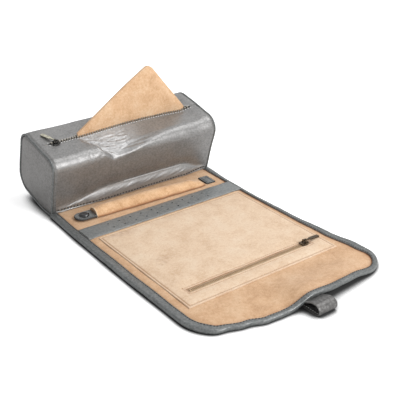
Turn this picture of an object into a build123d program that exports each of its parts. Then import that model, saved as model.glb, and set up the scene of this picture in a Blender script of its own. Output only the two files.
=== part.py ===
from build123d import *
import os
from math import atan2, cos, degrees, pi, radians, sin

# A leather jewelry roll, lying open: a zipped case with a flap of four folding panels.
# X runs along the case, the flap points to -Y, +Z is up. The origin is the middle of
# the whole roll's footprint, on the surface that it lies on. Lengths are millimetres.
# A reach is a distance forward, to -Y, from the middle of the case.

case_y = 141.5
case_length = 200.0
front_foot = (-27.5, 0.0)
front_brow = (-43.8, 65.0)
back_brow = (27.9, 80.5)
back_heel = (45.0, 13.5)
sole_end = (-6.0, 0.0)
section_corners = (
    (front_foot, 4.5),
    (front_brow, 12.0),
    (back_brow, 14.0),
    (back_heel, 18.0),
    (sole_end, 50.0),
)

# Thickness of each layer of the case wall and of the flap
case_leather = 1.4
case_board = 1.4
case_suede = 1.0
flap_leather = 1.3
flap_felt = 1.0
flap_suede = 1.1
binding = 1.0
trim = 1.2

piping_radius = 1.2
piping_proud = 0.4
cord_sides = 6
end_panel_set, end_lining_set = 0.7, 1.7
seam_strip_height = 6.0
seam_strip_depth = 1.0
seam_strip_gap = 0.6
seam_strip_end = 2.0

# The case's zip: a slot along the roof, its opening edges and the slider's parking place
slot_reach = 5.0
slot_left, slot_right = -88.0, 90.5
slot_width = 13.2
slot_corner = 1.8
cut_above, cut_depth = 2.0, 9.0
inner_slot_width, inner_slot_past = 26.0, 5.0
tape_width = 6.1
tape_depth = 0.6
tape_past = 3.0
lip_over = 0.2
teeth_end_left, teeth_end_right = 4.0, 3.6
tooth_pitch = 3.0
tooth_length = 1.4
tooth_reach = 0.8
rail_width = 0.8
teeth_depth, teeth_height = 0.5, 1.8
case_slider_x = -80.0
case_slider_v = -5.6
case_pull_turn = 108.0

# The flap: half its width, the reaches of its fold lines and its front edge
flap_half = 104.2
flap_start = 30.8
folds = (30.5, 99.6, 181.6, 253.0)
fold_gap = 0.3
front_edge = 302.0
corner_radius = 27.0
binding_width = 8.5
arch_rise = 5.0

strip_back, strip_front = 75.0, 98.2
strip_half = 95.4
hole_pitch, hole_radius, hole_sides, holes_per_row = 13.1, 0.85, 8, 10
holes_middle, hole_row, hole_shift = -6.0, 4.6, 1.4

pocket_back, pocket_front = 101.0, 251.5
pocket_left, pocket_right = -87.3, 88.5
pocket_slot_reach = 229.5
pocket_slot = (-72.0, 71.0)
pocket_slot_width = 6.4
pocket_tape_past, pocket_recess_play = 3.5, 0.4
pocket_rail, pocket_tooth_width, pocket_teeth_height = 0.9, 2.0, 0.8
pocket_stop_length, pocket_stop_width, pocket_teeth_in = 1.6, 3.2, 5.0
pocket_slider_x = 65.5
pocket_pull_turn = 6.0

# The ring bar: the middle of its left and right ends, x and reach
bar_left = (-65.5, 55.2)
bar_right = (69.5, 61.3)
bar_lift = 0.3
pad_width, pad_height = 17.0, 9.6
tab_length, tab_width, tab_thick = 21.5, 17.0, 1.4
tab_gap, tab_lift, tab_round = 0.1, 2.0, 0.46
socket_radius, socket_hole, socket_height = 4.4, 2.5, 1.5
stud_foot_radius, stud_foot_height, stud_radius, stud_height, stud_chamfer = 3.6, 0.25, 1.9, 1.2, 0.45
keeper_x, keeper_reach, keeper_length, keeper_width, keeper_corner = 78.6, 57.3, 12.2, 18.4, 0.8
cap_back = 11.2
cap_radius, cap_height = 5.4, 2.2
cap_rim, cap_flat, cap_shoulder = 0.4, 0.72, 0.9

strap_x, strap_width, strap_thick = 7.0, 21.0, 1.8
strap_front = 324.1

# The pouch's outline, with its peak before it is rounded
pouch_reach = 3.35
pouch_sheet, pouch_gap = 1.25, 0.1
pouch_left, pouch_peak_x, pouch_right = -51.0, 39.0, 85.0
pouch_foot_z, pouch_left_z, pouch_peak_z, pouch_right_z = 64.0, 74.0, 133.9, 76.0
pouch_peak_round, pouch_foot_round = 6.0, 3.0

os.makedirs("parts", exist_ok=True)

flap_top = flap_leather + flap_felt + flap_suede
binding_top = flap_top + binding
roof_slope = atan2(back_brow[1] - front_brow[1], back_brow[0] - front_brow[0])
roof_z = front_brow[1] + (-slot_reach - front_brow[0]) * sin(roof_slope) / cos(roof_slope)
roof = Plane(
    origin=(0, case_y - slot_reach, roof_z),
    x_dir=(1, 0, 0),
    z_dir=(0, -sin(roof_slope), cos(roof_slope)),
)


def forward(reach):
    return case_y - reach


def finish(piece, name):
    piece.part.label = name
    export_step(piece.part, f"parts/{name}.step")
    print(name, round(piece.part.volume / 1000, 2), "cm3")


def case_section(inset):
    # The D section of the case, drawn in from its outside by inset
    with BuildSketch(Plane.YZ) as section:
        with BuildLine():
            corners = [(case_y + y, z) for (y, z), _ in section_corners]
            Polyline(*corners, close=True)
        make_face()
        for (y, z), radius in section_corners:
            corner = section.vertices().sort_by_distance((case_y + y, z))[0]
            fillet(corner, radius)
        if inset:
            offset(amount=-inset)
    return section.sketch


def slot_cut(width, left, right, depth):
    # A slot through the roof with small round corners, as a solid to subtract
    with BuildPart(mode=Mode.PRIVATE) as cut:
        with BuildSketch(roof.offset(cut_above)):
            with Locations(((left + right) / 2, 0)):
                RectangleRounded(right - left, width, slot_corner)
        extrude(amount=-depth)
    return cut.part


def case_wall(name, inset, wall, half_length, slot):
    with BuildPart() as shell:
        extrude(case_section(inset), amount=half_length, both=True)
        extrude(case_section(inset + wall), amount=half_length, both=True, mode=Mode.SUBTRACT)
        add(slot_cut(*slot), mode=Mode.SUBTRACT)
    finish(shell, name)


# The wall of the case: leather outside, board, suede inside
tube_half = case_length / 2 - piping_proud - 2 * piping_radius
outer_slot = (slot_width, slot_left, slot_right, cut_depth)
inner_slot = (inner_slot_width, slot_left - inner_slot_past, slot_right + inner_slot_past, cut_depth)
case_wall("case_leather", 0, case_leather, tube_half, outer_slot)
case_wall("case_board", case_leather, case_board, tube_half, inner_slot)
case_wall("case_lining", case_leather + case_board, case_suede, tube_half - end_lining_set, inner_slot)


# Each end: a piped seam round a flat leather panel, backed by board and lined with suede
def end_disc(name, inset, start, thick, side):
    with BuildPart() as disc:
        face = case_section(inset).moved(Location((side * start, 0, 0)))
        extrude(face, amount=side * thick)
    finish(disc, name)


def end_piping(name, side):
    path = case_section(piping_radius).faces()[0].outer_wire()
    path = path.moved(Location((side * (tube_half + piping_radius), 0, 0)))
    with BuildPart() as piping:
        with BuildSketch(Plane(origin=path @ 0, z_dir=path % 0)):
            RegularPolygon(piping_radius, cord_sides)
        sweep(path=path)
    finish(piping, name)


board_play = 0.05
board_inset = case_leather + case_board + board_play
for side, side_name in ((-1, "left"), (1, "right")):
    end_piping(f"end_piping_{side_name}", side)
    end_disc(f"end_panel_{side_name}", 2 * piping_radius, tube_half + end_panel_set, case_leather, side)
    end_disc(f"end_board_{side_name}", board_inset, tube_half - end_panel_set, case_board, side)
    end_disc(f"end_lining_{side_name}", board_inset, tube_half - end_lining_set, case_suede, side)

# The turned strip that covers the seam between the case and the flap
with BuildPart() as seam_strip:
    front_lean = Vector(front_brow[0] - front_foot[0], front_brow[1]).normalized()
    strip_foot = Vector(case_y + front_foot[0], 0) + front_lean * (binding_top + seam_strip_gap)
    strip_head = strip_foot + front_lean * seam_strip_height
    out = Vector(-front_lean.Y, front_lean.X) * seam_strip_depth
    with BuildSketch(Plane.YZ):
        with BuildLine():
            Line((strip_foot.X, strip_foot.Y), (strip_head.X, strip_head.Y))
            ThreePointArc(
                (strip_head.X, strip_head.Y),
                ((strip_foot.X + strip_head.X) / 2 + out.X, (strip_foot.Y + strip_head.Y) / 2 + out.Y),
                (strip_foot.X, strip_foot.Y),
            )
        make_face()
    extrude(amount=tube_half - seam_strip_end, both=True)
finish(seam_strip, "seam_strip")


# The case's zip: a tape and a row of teeth along each side of the slot, and end stops
teeth_left, teeth_right = slot_left + teeth_end_left, slot_right - teeth_end_right
tape_edge = slot_width / 2 - lip_over
for side, side_name in ((-1, "front"), (1, "back")):
    with BuildPart() as tape:
        with BuildSketch(roof.offset(-case_leather)):
            with Locations(((slot_left + slot_right) / 2, side * (tape_edge + tape_width / 2))):
                Rectangle(slot_right - slot_left + 2 * tape_past, tape_width)
        extrude(amount=-tape_depth)
    finish(tape, f"case_zip_tape_{side_name}")

    tooth_count = int((teeth_right - teeth_left) / tooth_pitch)
    with BuildPart() as teeth:
        with BuildSketch(roof.offset(-teeth_depth)):
            with Locations(((teeth_left + teeth_right) / 2, side * (tape_edge - rail_width / 2))):
                Rectangle(teeth_right - teeth_left, rail_width)
            with Locations(((teeth_left + teeth_right) / 2, side * (tape_edge - rail_width))):
                with GridLocations(tooth_pitch, 0, tooth_count, 1):
                    Rectangle(tooth_length, 2 * tooth_reach)
        extrude(amount=-teeth_height)
    finish(teeth, f"case_zip_teeth_{side_name}")

stop_length, stop_width, stop_height = 1.6, 1.8, 2.0
stop_depth, stop_in, stop_past = 0.4, 1.0, 1.0
with BuildPart() as stops:
    with BuildSketch(roof.offset(-stop_depth)):
        for x in (teeth_left - stop_length, teeth_right + stop_past):
            with Locations((x, tape_edge - stop_in), (x, stop_in - tape_edge)):
                Rectangle(stop_length, stop_width)
    extrude(amount=-stop_height)
finish(stops, "case_zip_stops")


# A slider's plate with its bail, a ring through the bail and a flat bar on the ring
slider_thick = 0.9
nose_x, shoulder_x, tail_x = 4.8, 1.5, -4.4
nose_half, shoulder_half, tail_half = 1.6, 4.2, 3.2
post_length, post_width, post_height, post_v = 3.0, 1.6, 4.2, 2.4
inner_length, inner_width, inner_gap, inner_thick = 8.0, 7.4, 3.6, 0.8
inner_v = -0.2
plate_chamfer = 0.27
bail_length, bail_window, bail_rise, bail_thick = 5.6, 3.8, 2.5, 0.9
bail_sunk, bail_corner = 0.3, 1.1
window_middle, window_height = 0.6, 2.3
bail_height = 3.3
ring_reach, ring_radius, ring_wire = 0.4, 1.6, 0.35
eye_x, eye_radius, eye_hole = 2.2, 1.15, 0.62
neck_length, neck_width, neck_lap = 5.0, 1.6, 0.35
tag_x, tag_length, tag_width, tag_corner = 14.2, 13.6, 4.0, 1.2
bar_thick = 0.9


def turned(base, turn):
    # The same plane with its x direction turned in the plane, in degrees
    x_dir = base.x_dir * cos(radians(turn)) + base.y_dir * sin(radians(turn))
    return Plane(origin=base.origin, x_dir=x_dir, z_dir=base.z_dir)


def slider_plate(place, bail_turn, clear, post):
    # The plate rides clear above its surface; with a post it has a lower plate inside too
    with BuildPart() as slider:
        with BuildSketch(place.offset(clear)):
            with BuildLine():
                Polyline(
                    (nose_x, -nose_half), (nose_x, nose_half), (shoulder_x, shoulder_half),
                    (tail_x, tail_half), (tail_x, -tail_half), (shoulder_x, -shoulder_half), close=True,
                )
            make_face()
        extrude(amount=slider_thick)
        plate_top = place.from_local_coords((0, 0, clear + slider_thick))
        upper_face = slider.faces().sort_by_distance(plate_top)[0]
        chamfer(upper_face.edges(), plate_chamfer)
        if post:
            with BuildSketch(place.offset(clear)):
                with Locations((0, post_v)):
                    Rectangle(post_length, post_width)
            extrude(amount=-post_height)
            with BuildSketch(place.offset(clear - inner_gap)):
                with Locations((0, inner_v)):
                    Rectangle(inner_length, inner_width)
            extrude(amount=-inner_thick)
        along = turned(place.offset(clear + slider_thick), bail_turn)
        bail = Plane(origin=along.origin, x_dir=along.x_dir, z_dir=along.x_dir.cross(along.z_dir))
        with BuildSketch(bail.offset(-bail_thick / 2)):
            with Locations((0, bail_rise / 2)):
                RectangleRounded(bail_length, bail_rise + 2 * bail_sunk, bail_corner)
            with Locations((0, window_middle)):
                Rectangle(bail_window, window_height, mode=Mode.SUBTRACT)
        extrude(amount=bail_thick)
    return slider


def pull_ring(place):
    with BuildPart() as ring:
        with BuildSketch(place):
            with Locations((ring_reach + ring_radius, 0)):
                RegularPolygon(ring_wire, cord_sides)
        revolve(axis=Axis(place.from_local_coords((ring_reach, 0, 0)), place.y_dir))
    return ring


def pull_bar(place):
    with BuildPart() as bar:
        with BuildSketch(place.offset(-bar_thick / 2)):
            with Locations((eye_x, 0)):
                Circle(eye_radius)
            with Locations((eye_x + eye_radius + neck_length / 2 - neck_lap, 0)):
                Rectangle(neck_length, neck_width)
            with Locations((tag_x, 0)):
                RectangleRounded(tag_length, tag_width, tag_corner)
            with Locations((eye_x, 0)):
                Circle(eye_hole, mode=Mode.SUBTRACT)
        extrude(amount=bar_thick)
    return bar


def pull_place(base, turn, droop):
    # The plane of a pull at rest: x out along the bar, which droops to lie on the surface
    level = turned(base, turn)
    fall = radians(droop)
    x_dir = level.x_dir * cos(fall) - level.z_dir * sin(fall)
    z_dir = level.z_dir * cos(fall) + level.x_dir * sin(fall)
    return Plane(origin=base.origin, x_dir=x_dir, z_dir=z_dir)


pull_droop = 6.5
case_clear, case_hang = 0.4, 0.2
case_slider_place = Plane(
    origin=roof.from_local_coords((case_slider_x, case_slider_v, 0)), x_dir=roof.x_dir, z_dir=roof.z_dir
)
case_pull_place = pull_place(case_slider_place.offset(bail_height + case_hang), case_pull_turn, pull_droop)
finish(slider_plate(case_slider_place, 0, case_clear, True), "case_zip_slider")
finish(pull_ring(case_pull_place), "case_pull_ring")
finish(pull_bar(case_pull_place), "case_pull_bar")


# The suede pouch that stands in the open slot: two sheets sewn along their edges
def pouch_sheet_solid(name, back_offset):
    with BuildPart() as sheet:
        with BuildSketch(Plane.XZ.offset(-forward(pouch_reach) - back_offset)) as outline:
            with BuildLine():
                Polyline(
                    (pouch_left, pouch_foot_z),
                    (pouch_left, pouch_left_z),
                    (pouch_peak_x, pouch_peak_z),
                    (pouch_right, pouch_right_z),
                    (pouch_right, pouch_foot_z),
                    close=True,
                )
            make_face()
            fillet(outline.vertices().group_by(Axis.Y)[-1], pouch_peak_round)
            fillet(outline.vertices().group_by(Axis.Y)[0], pouch_foot_round)
        extrude(amount=pouch_sheet)
    finish(sheet, name)


pouch_sheet_solid("pouch_front", -pouch_gap / 2)
pouch_sheet_solid("pouch_back", pouch_sheet + pouch_gap / 2)


# The flap's first three panels: leather, felt and suede between two fold lines
def flap_layer(name, low, thick, half_width, start, end):
    with BuildPart() as layer:
        with BuildSketch(Plane.XY.offset(low)):
            with Locations((0, (forward(start) + forward(end)) / 2)):
                Rectangle(2 * half_width, end - start)
        extrude(amount=thick)
    finish(layer, name)


def side_binding(name, start, end):
    with BuildPart() as edge:
        for side in (-1, 1):
            with BuildSketch(Plane.XZ.offset(-forward(start))):
                with BuildLine():
                    outer = side * flap_half
                    wall = side * (flap_half - binding)
                    lip = side * (flap_half - binding_width)
                    Polyline(
                        (outer, 0), (outer, binding_top), (lip, binding_top),
                        (lip, flap_top), (wall, flap_top), (wall, 0), close=True,
                    )
                make_face()
        extrude(amount=end - start)
    finish(edge, name)


layer_half = flap_half - binding
felt_half = flap_half - binding_width
felt_in = 1.0
panel_spans = [
    (flap_start, folds[1] - fold_gap),
    (folds[1] + fold_gap, folds[2] - fold_gap),
    (folds[2] + fold_gap, folds[3] - fold_gap),
]
for number, (start, end) in enumerate(panel_spans, start=1):
    flap_layer(f"flap_leather_{number}", 0, flap_leather, layer_half, start, end)
    flap_layer(f"flap_felt_{number}", flap_leather, flap_felt, felt_half, start + felt_in, end - felt_in)
    flap_layer(f"flap_lining_{number}", flap_leather + flap_felt, flap_suede, layer_half, start, end)
    side_binding(f"flap_binding_{number}", start, end)


# The end panel: rounded at its front corners and arched up in the middle of its front edge
end_start = folds[3] + fold_gap
arch_middle, arch_half, arch_steps, arch_least = 6.0, 82.0, 12, 0.02
slab_past, core_below = 1.0, 1.0
outline_low, outline_height, outline_past = -5.0, 30.0, 5.0


def arch_line(level, rise, past):
    # A level line with one smooth rise in its middle, a whole wave of a cosine
    shares = [2 * step / arch_steps - 1 for step in range(arch_steps + 1)]
    humps = [level + rise * (1 + cos(pi * share)) / 2 for share in shares]
    hump = [(arch_middle + arch_half * share, height) for share, height in zip(shares, humps)]
    with BuildLine() as run:
        Polyline((-past, level), *hump, (past, level))
    return run.wire()


def arched_slab(low, high, start, end):
    with BuildPart(mode=Mode.PRIVATE) as slab:
        for reach in (start, end):
            share = (reach - end_start) / (front_edge - end_start)
            rise = arch_rise * max(arch_least, share)
            with BuildSketch(Plane(origin=(0, forward(reach), 0), x_dir=(1, 0, 0), z_dir=(0, -1, 0))):
                with BuildLine():
                    past = flap_half + slab_past
                    under, over = arch_line(low, rise, past), arch_line(high, rise, past)
                    add([under, over])
                    Line(under @ 0, over @ 0)
                    Line(under @ 1, over @ 1)
                make_face()
        loft(ruled=True)
    return slab.part


def end_outline(inset, start):
    # The end panel's plan, drawn in from its bound edge, as a tall solid
    with BuildPart(mode=Mode.PRIVATE) as block:
        with BuildSketch(Plane.XY.offset(outline_low)) as plan:
            with Locations((0, (forward(start) + forward(front_edge - inset)) / 2)):
                Rectangle(2 * (flap_half - inset), front_edge - inset - start)
            fillet(plan.vertices().group_by(Axis.Y)[0], corner_radius - inset)
        extrude(amount=outline_height)
    return block.part


def end_layer(name, low, thick, inset, start):
    with BuildPart() as layer:
        add(arched_slab(low, low + thick, start, front_edge))
        add(end_outline(inset, start), mode=Mode.INTERSECT)
    finish(layer, name)


end_layer("flap_leather_4", 0, flap_leather, binding, end_start)
end_layer("flap_felt_4", flap_leather, flap_felt, binding_width, end_start)
end_layer("flap_lining_4", flap_leather + flap_felt, flap_suede, binding, end_start)

with BuildPart() as end_binding:
    add(arched_slab(0, binding_top, end_start, front_edge))
    add(end_outline(0, end_start), mode=Mode.INTERSECT)
    add(end_outline(binding_width, end_start - outline_past), mode=Mode.SUBTRACT)
    with BuildPart(mode=Mode.PRIVATE) as core:
        add(arched_slab(-core_below, flap_top, end_start, front_edge))
        add(end_outline(binding, end_start - outline_past), mode=Mode.INTERSECT)
    add(core.part, mode=Mode.SUBTRACT)
finish(end_binding, "flap_binding_4")

# The leather loop sewn to the front edge, its runs lying one over the other
strap_root_z, strap_shoulder_z, strap_crown_z = 3.3, 8.3, 8.6
strap_shoulder = 8.6
strap_gap = 0.8
strap_bends = (5.0, 3.5, 3.5)
with BuildPart() as strap_loop:
    loop_root = front_edge + strap_gap
    bend = strap_front - strap_thick / 2
    with BuildLine(Plane.YZ.offset(strap_x)):
        path = FilletPolyline(
            (forward(loop_root), strap_root_z),
            (forward(loop_root + strap_shoulder), strap_shoulder_z),
            (forward(bend), strap_crown_z),
            (forward(bend), strap_thick / 2),
            (forward(loop_root), strap_thick / 2),
            radius=strap_bends,
        )
    with BuildSketch(Plane(origin=path @ 0, x_dir=(1, 0, 0), z_dir=path % 0)):
        Rectangle(strap_width, strap_thick)
    sweep(path=path)
finish(strap_loop, "strap_loop")

# The earring strip, pierced by two staggered rows of holes
with BuildPart() as earring_strip:
    with BuildSketch(Plane.XY.offset(flap_top)):
        with Locations((0, forward((strip_back + strip_front) / 2))):
            Rectangle(2 * strip_half, strip_front - strip_back)
        for row, shift in ((hole_row, 0.0), (-hole_row, hole_shift)):
            with Locations((holes_middle + shift, forward((strip_back + strip_front) / 2) + row)):
                with GridLocations(hole_pitch, 0, holes_per_row, 1):
                    RegularPolygon(hole_radius, hole_sides, mode=Mode.SUBTRACT)
    extrude(amount=trim)
finish(earring_strip, "earring_strip")


# The zipped pocket: one suede panel in two lengths that meet on the fold line
tape_length = pocket_slot[1] - pocket_slot[0] + 2 * pocket_tape_past
recess_play = 0.1


def pocket_length(name, start, end, slotted):
    with BuildPart() as panel:
        with BuildSketch(Plane.XY.offset(flap_top)):
            with Locations(((pocket_left + pocket_right) / 2, forward((start + end) / 2))):
                Rectangle(pocket_right - pocket_left, end - start)
            if slotted:
                with Locations((sum(pocket_slot) / 2, forward(pocket_slot_reach))):
                    Rectangle(pocket_slot[1] - pocket_slot[0], pocket_slot_width, mode=Mode.SUBTRACT)
        extrude(amount=trim)
        if slotted:
            with BuildSketch(Plane.XY.offset(flap_top)):
                with Locations((sum(pocket_slot) / 2, forward(pocket_slot_reach))):
                    Rectangle(tape_length + pocket_recess_play, 2 * tape_width + pocket_recess_play)
            extrude(amount=tape_depth + recess_play, mode=Mode.SUBTRACT)
    finish(panel, name)


pocket_length("pocket_panel_back", pocket_back, folds[2] - fold_gap, False)
pocket_length("pocket_panel_front", folds[2] + fold_gap, pocket_front, True)

with BuildPart() as pocket_tape:
    with BuildSketch(Plane.XY.offset(flap_top)):
        with Locations((sum(pocket_slot) / 2, forward(pocket_slot_reach))):
            Rectangle(tape_length, 2 * tape_width)
    extrude(amount=tape_depth)
finish(pocket_tape, "pocket_zip_tape")

# The closed teeth of the pocket's zip, with a square stop at each end
with BuildPart() as pocket_teeth:
    teeth_span = pocket_slot[1] - pocket_slot[0] - pocket_teeth_in
    with BuildSketch(Plane.XY.offset(flap_top + tape_depth)):
        with Locations((sum(pocket_slot) / 2, forward(pocket_slot_reach))):
            Rectangle(teeth_span, pocket_rail)
            with GridLocations(tooth_pitch, 0, int(teeth_span / tooth_pitch), 1):
                Rectangle(tooth_length, pocket_tooth_width)
            with GridLocations(teeth_span, 0, 2, 1):
                Rectangle(pocket_stop_length, pocket_stop_width)
    extrude(amount=pocket_teeth_height)
finish(pocket_teeth, "pocket_zip_teeth")

pocket_slider_place = Plane(origin=(pocket_slider_x, forward(pocket_slot_reach), flap_top + trim))
pocket_clear, pocket_hang = 0.55, 0.35
pocket_hinge = pocket_slider_place.offset(bail_height + pocket_hang)
pocket_pull_place = pull_place(pocket_hinge, pocket_pull_turn, pull_droop)
finish(slider_plate(pocket_slider_place, 90, pocket_clear, False), "pocket_zip_slider")
finish(pull_ring(pocket_pull_place), "pocket_pull_ring")
finish(pull_bar(pocket_pull_place), "pocket_pull_bar")

# The ring bar: a stuffed suede roll, flattened where its right end is sewn down
bar_start = Vector(bar_left[0], forward(bar_left[1]), flap_top + bar_lift)
bar_end = Vector(bar_right[0], forward(bar_right[1]), flap_top + bar_lift)
bar_dir = (bar_end - bar_start).normalized()
bar_length = (bar_end - bar_start).length
bar_across = Vector(-bar_dir.Y, bar_dir.X, 0)


# A flat foot under a full crown of straight facets, steep at its sides
crown_steps, crown_fullness = 12, 0.7


def pad_section(along, width, height):
    place = Plane(origin=bar_start + bar_dir * along, x_dir=bar_across, z_dir=bar_dir)
    turns = [pi * step / crown_steps for step in range(1, crown_steps)]
    crown = [(cos(turn) * width / 2, sin(turn) ** crown_fullness * height) for turn in turns]
    with BuildSketch(place) as section:
        with BuildLine():
            Polyline((width / 2, 0), *crown, (-width / 2, 0), close=True)
        make_face()
    return section.sketch


# Along the bar as a fraction of its length: its width and height there, against the fullest
pad_swell = ((0.0, 0.95, 0.82), (0.08, 1.0, 1.0), (0.88, 0.9, 0.85), (1.0, 0.82, 0.23))
with BuildPart() as ring_bar_pad:
    sections = []
    for along, wide, tall in pad_swell:
        sections.append(pad_section(bar_length * along, pad_width * wide, pad_height * tall))
    loft(sections, ruled=True)
finish(ring_bar_pad, "ring_bar_pad")

# The snap tab at the bar's free end, with its cap, the socket below and the stud on the flap
tab_low = flap_top + tab_lift
tab_place = Plane(origin=(bar_start.X, bar_start.Y, tab_low), x_dir=bar_dir, z_dir=(0, 0, 1))
with BuildPart() as ring_bar_tab:
    with BuildSketch(tab_place) as tab_plan:
        with Locations((-tab_length / 2 - tab_gap, 0)):
            Rectangle(tab_length, tab_width)
        outer_end = tab_plan.vertices().group_by(Axis.X)[0]
        fillet(outer_end, tab_width * tab_round)
    extrude(amount=tab_thick)
finish(ring_bar_tab, "ring_bar_tab")

cap_place = Plane(origin=tab_place.from_local_coords((-cap_back, 0, tab_thick)), z_dir=(0, 0, 1))
with BuildPart() as ring_snap_cap:
    with BuildSketch(Plane(origin=cap_place.origin, x_dir=(1, 0, 0), z_dir=(0, -1, 0))):
        with BuildLine():
            rim = Line((cap_radius, 0), (cap_radius, cap_height * cap_rim))
            crown = Line(rim @ 1, (cap_radius * cap_flat, cap_height * cap_shoulder))
            Polyline(crown @ 1, (0, cap_height), (0, 0), rim @ 0)
        make_face()
    revolve(axis=Axis(cap_place.origin, (0, 0, 1)))
finish(ring_snap_cap, "ring_snap_cap")

with BuildPart() as ring_snap_socket:
    with BuildSketch(cap_place.offset(-tab_thick)):
        Circle(socket_radius)
        Circle(socket_hole, mode=Mode.SUBTRACT)
    extrude(amount=-socket_height)
finish(ring_snap_socket, "ring_snap_socket")

with BuildPart() as ring_snap_stud:
    stud_place = Plane(origin=(cap_place.origin.X, cap_place.origin.Y, flap_top))
    with BuildSketch(stud_place):
        Circle(stud_foot_radius)
    extrude(amount=stud_foot_height)
    with BuildSketch(stud_place.offset(stud_foot_height)):
        Circle(stud_radius)
    extrude(amount=stud_height)
    chamfer(ring_snap_stud.faces().sort_by(Axis.Z)[-1].edges(), stud_chamfer)
finish(ring_snap_stud, "ring_snap_stud")

# The stitched square that holds the bar's sewn end
with BuildPart() as ring_keeper:
    keeper_place = Plane(origin=(keeper_x, forward(keeper_reach), flap_top), x_dir=bar_dir, z_dir=(0, 0, 1))
    with BuildSketch(keeper_place):
        RectangleRounded(keeper_length, keeper_width, keeper_corner)
    extrude(amount=trim)
finish(ring_keeper, "ring_keeper")

print("roof plane origin", roof.origin, "slope", round(degrees(roof_slope), 2))
print("case slider hinge", case_pull_place.origin, "pocket hinge", pocket_pull_place.origin)
print("bar hinge", bar_end, "bar direction", bar_dir)
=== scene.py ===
from math import atan2, ceil, cos, exp, hypot, pi, radians, sin, sqrt

import bmesh
import bpy
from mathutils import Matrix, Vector, noise


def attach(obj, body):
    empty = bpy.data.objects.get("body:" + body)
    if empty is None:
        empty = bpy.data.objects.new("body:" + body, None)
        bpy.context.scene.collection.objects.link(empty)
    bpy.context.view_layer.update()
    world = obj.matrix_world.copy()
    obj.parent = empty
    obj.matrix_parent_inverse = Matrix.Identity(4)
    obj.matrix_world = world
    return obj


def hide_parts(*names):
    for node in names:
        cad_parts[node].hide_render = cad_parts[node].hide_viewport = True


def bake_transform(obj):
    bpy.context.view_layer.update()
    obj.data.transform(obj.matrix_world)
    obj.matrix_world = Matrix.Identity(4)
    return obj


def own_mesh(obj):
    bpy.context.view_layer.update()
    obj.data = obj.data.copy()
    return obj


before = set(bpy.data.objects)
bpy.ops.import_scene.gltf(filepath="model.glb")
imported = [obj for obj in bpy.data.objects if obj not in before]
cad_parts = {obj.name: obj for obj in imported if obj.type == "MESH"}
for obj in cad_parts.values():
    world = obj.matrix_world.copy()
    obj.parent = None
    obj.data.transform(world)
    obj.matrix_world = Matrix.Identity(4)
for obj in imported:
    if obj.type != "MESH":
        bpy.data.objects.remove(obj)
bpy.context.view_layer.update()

mm = 0.001
caseMiddle = 141.5  # where the middle of the case stands along Y, in millimetres


# Small helpers for shapes. Lengths are millimetres until a mesh is made.

def smooth(low, high, value):
    share = min(1.0, max(0.0, (value - low) / (high - low)))
    return share * share * (3 - 2 * share)


def through(pairs, value):
    # a soft curve through (place, size) pairs
    if value <= pairs[0][0]:
        return pairs[0][1]
    for (a, sizeA), (b, sizeB) in zip(pairs, pairs[1:]):
        if value <= b:
            return sizeA + (sizeB - sizeA) * smooth(a, b, value)
    return pairs[-1][1]


def ripple(x, y, z=0.0):
    return noise.noise(Vector((x, y, z)))


def hill(value, middle, wide):
    # 1 at the middle, and lower to both sides
    return exp(-((value - middle) / wide) ** 2)


def spread(start, end, step):
    count = max(1, ceil(abs(end - start) / step))
    return [start + (end - start) * n / count for n in range(count + 1)]


def addObject(name, mesh):
    obj = bpy.data.objects.new(name, mesh)
    bpy.context.scene.collection.objects.link(obj)
    return obj


def makeMesh(name, points, faces, finish, edges=()):
    mesh = bpy.data.meshes.new(name)
    mesh.from_pydata([(x * mm, y * mm, z * mm) for x, y, z in points], list(edges), faces)
    if finish:
        mesh.materials.append(finish)
    mesh.update()
    return addObject(name, mesh)


def softShade(obj, angle=38):
    obj.data.polygons.foreach_set("use_smooth", [True] * len(obj.data.polygons))
    obj.data.set_sharp_from_angle(angle=radians(angle))


def gridFaces(rows, cols, closeRows=False, closeCols=False):
    faces = []
    for r in range(rows if closeRows else rows - 1):
        for c in range(cols if closeCols else cols - 1):
            down, across = (r + 1) % rows, (c + 1) % cols
            faces.append((r * cols + c, down * cols + c, down * cols + across, r * cols + across))
    return faces


def fixNormals(obj, direction=None):
    # on an open sheet, direction says where most of its faces should look
    work = bmesh.new()
    work.from_mesh(obj.data)
    bmesh.ops.remove_doubles(work, verts=work.verts, dist=0.00001)
    bmesh.ops.recalc_face_normals(work, faces=work.faces)
    work.to_mesh(obj.data)
    work.free()
    if direction and sum(face.normal.dot(Vector(direction)) for face in obj.data.polygons) < 0:
        obj.data.flip_normals()


def attribute(obj, name, values):
    layer = obj.data.attributes.new(name, "FLOAT", "POINT")
    layer.data.foreach_set("value", values)


def circle(radius, sides):
    return [(radius * cos(2 * pi * n / sides), radius * sin(2 * pi * n / sides)) for n in range(sides)]


def slab(name, plan, topOf, bottomOf, finish, hole=None):
    # plan is rows of (x, y), running forward; hole drops the cells that it says yes to
    rows, cols = len(plan), len(plan[0])
    flat = [point for row in plan for point in row]
    points = [(x, y, topOf(x, y)) for x, y in flat] + [(x, y, bottomOf(x, y)) for x, y in flat]
    count = len(flat)
    kept = []
    for face in gridFaces(rows, cols):
        middle = [sum(flat[i][k] for i in face) / 4 for k in (0, 1)]
        if not (hole and hole(*middle)):
            kept.append(face)
    faces = list(kept) + [tuple(count + i for i in reversed(face)) for face in kept]
    sides = {}
    for face in kept:
        for a, b in zip(face, face[1:] + face[:1]):
            if (b, a) in sides:
                del sides[(b, a)]
            else:
                sides[(a, b)] = True
    for a, b in sides:
        faces.append((b, a, count + a, count + b))
    obj = makeMesh(name, points, faces, finish)
    softShade(obj)
    return obj


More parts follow.
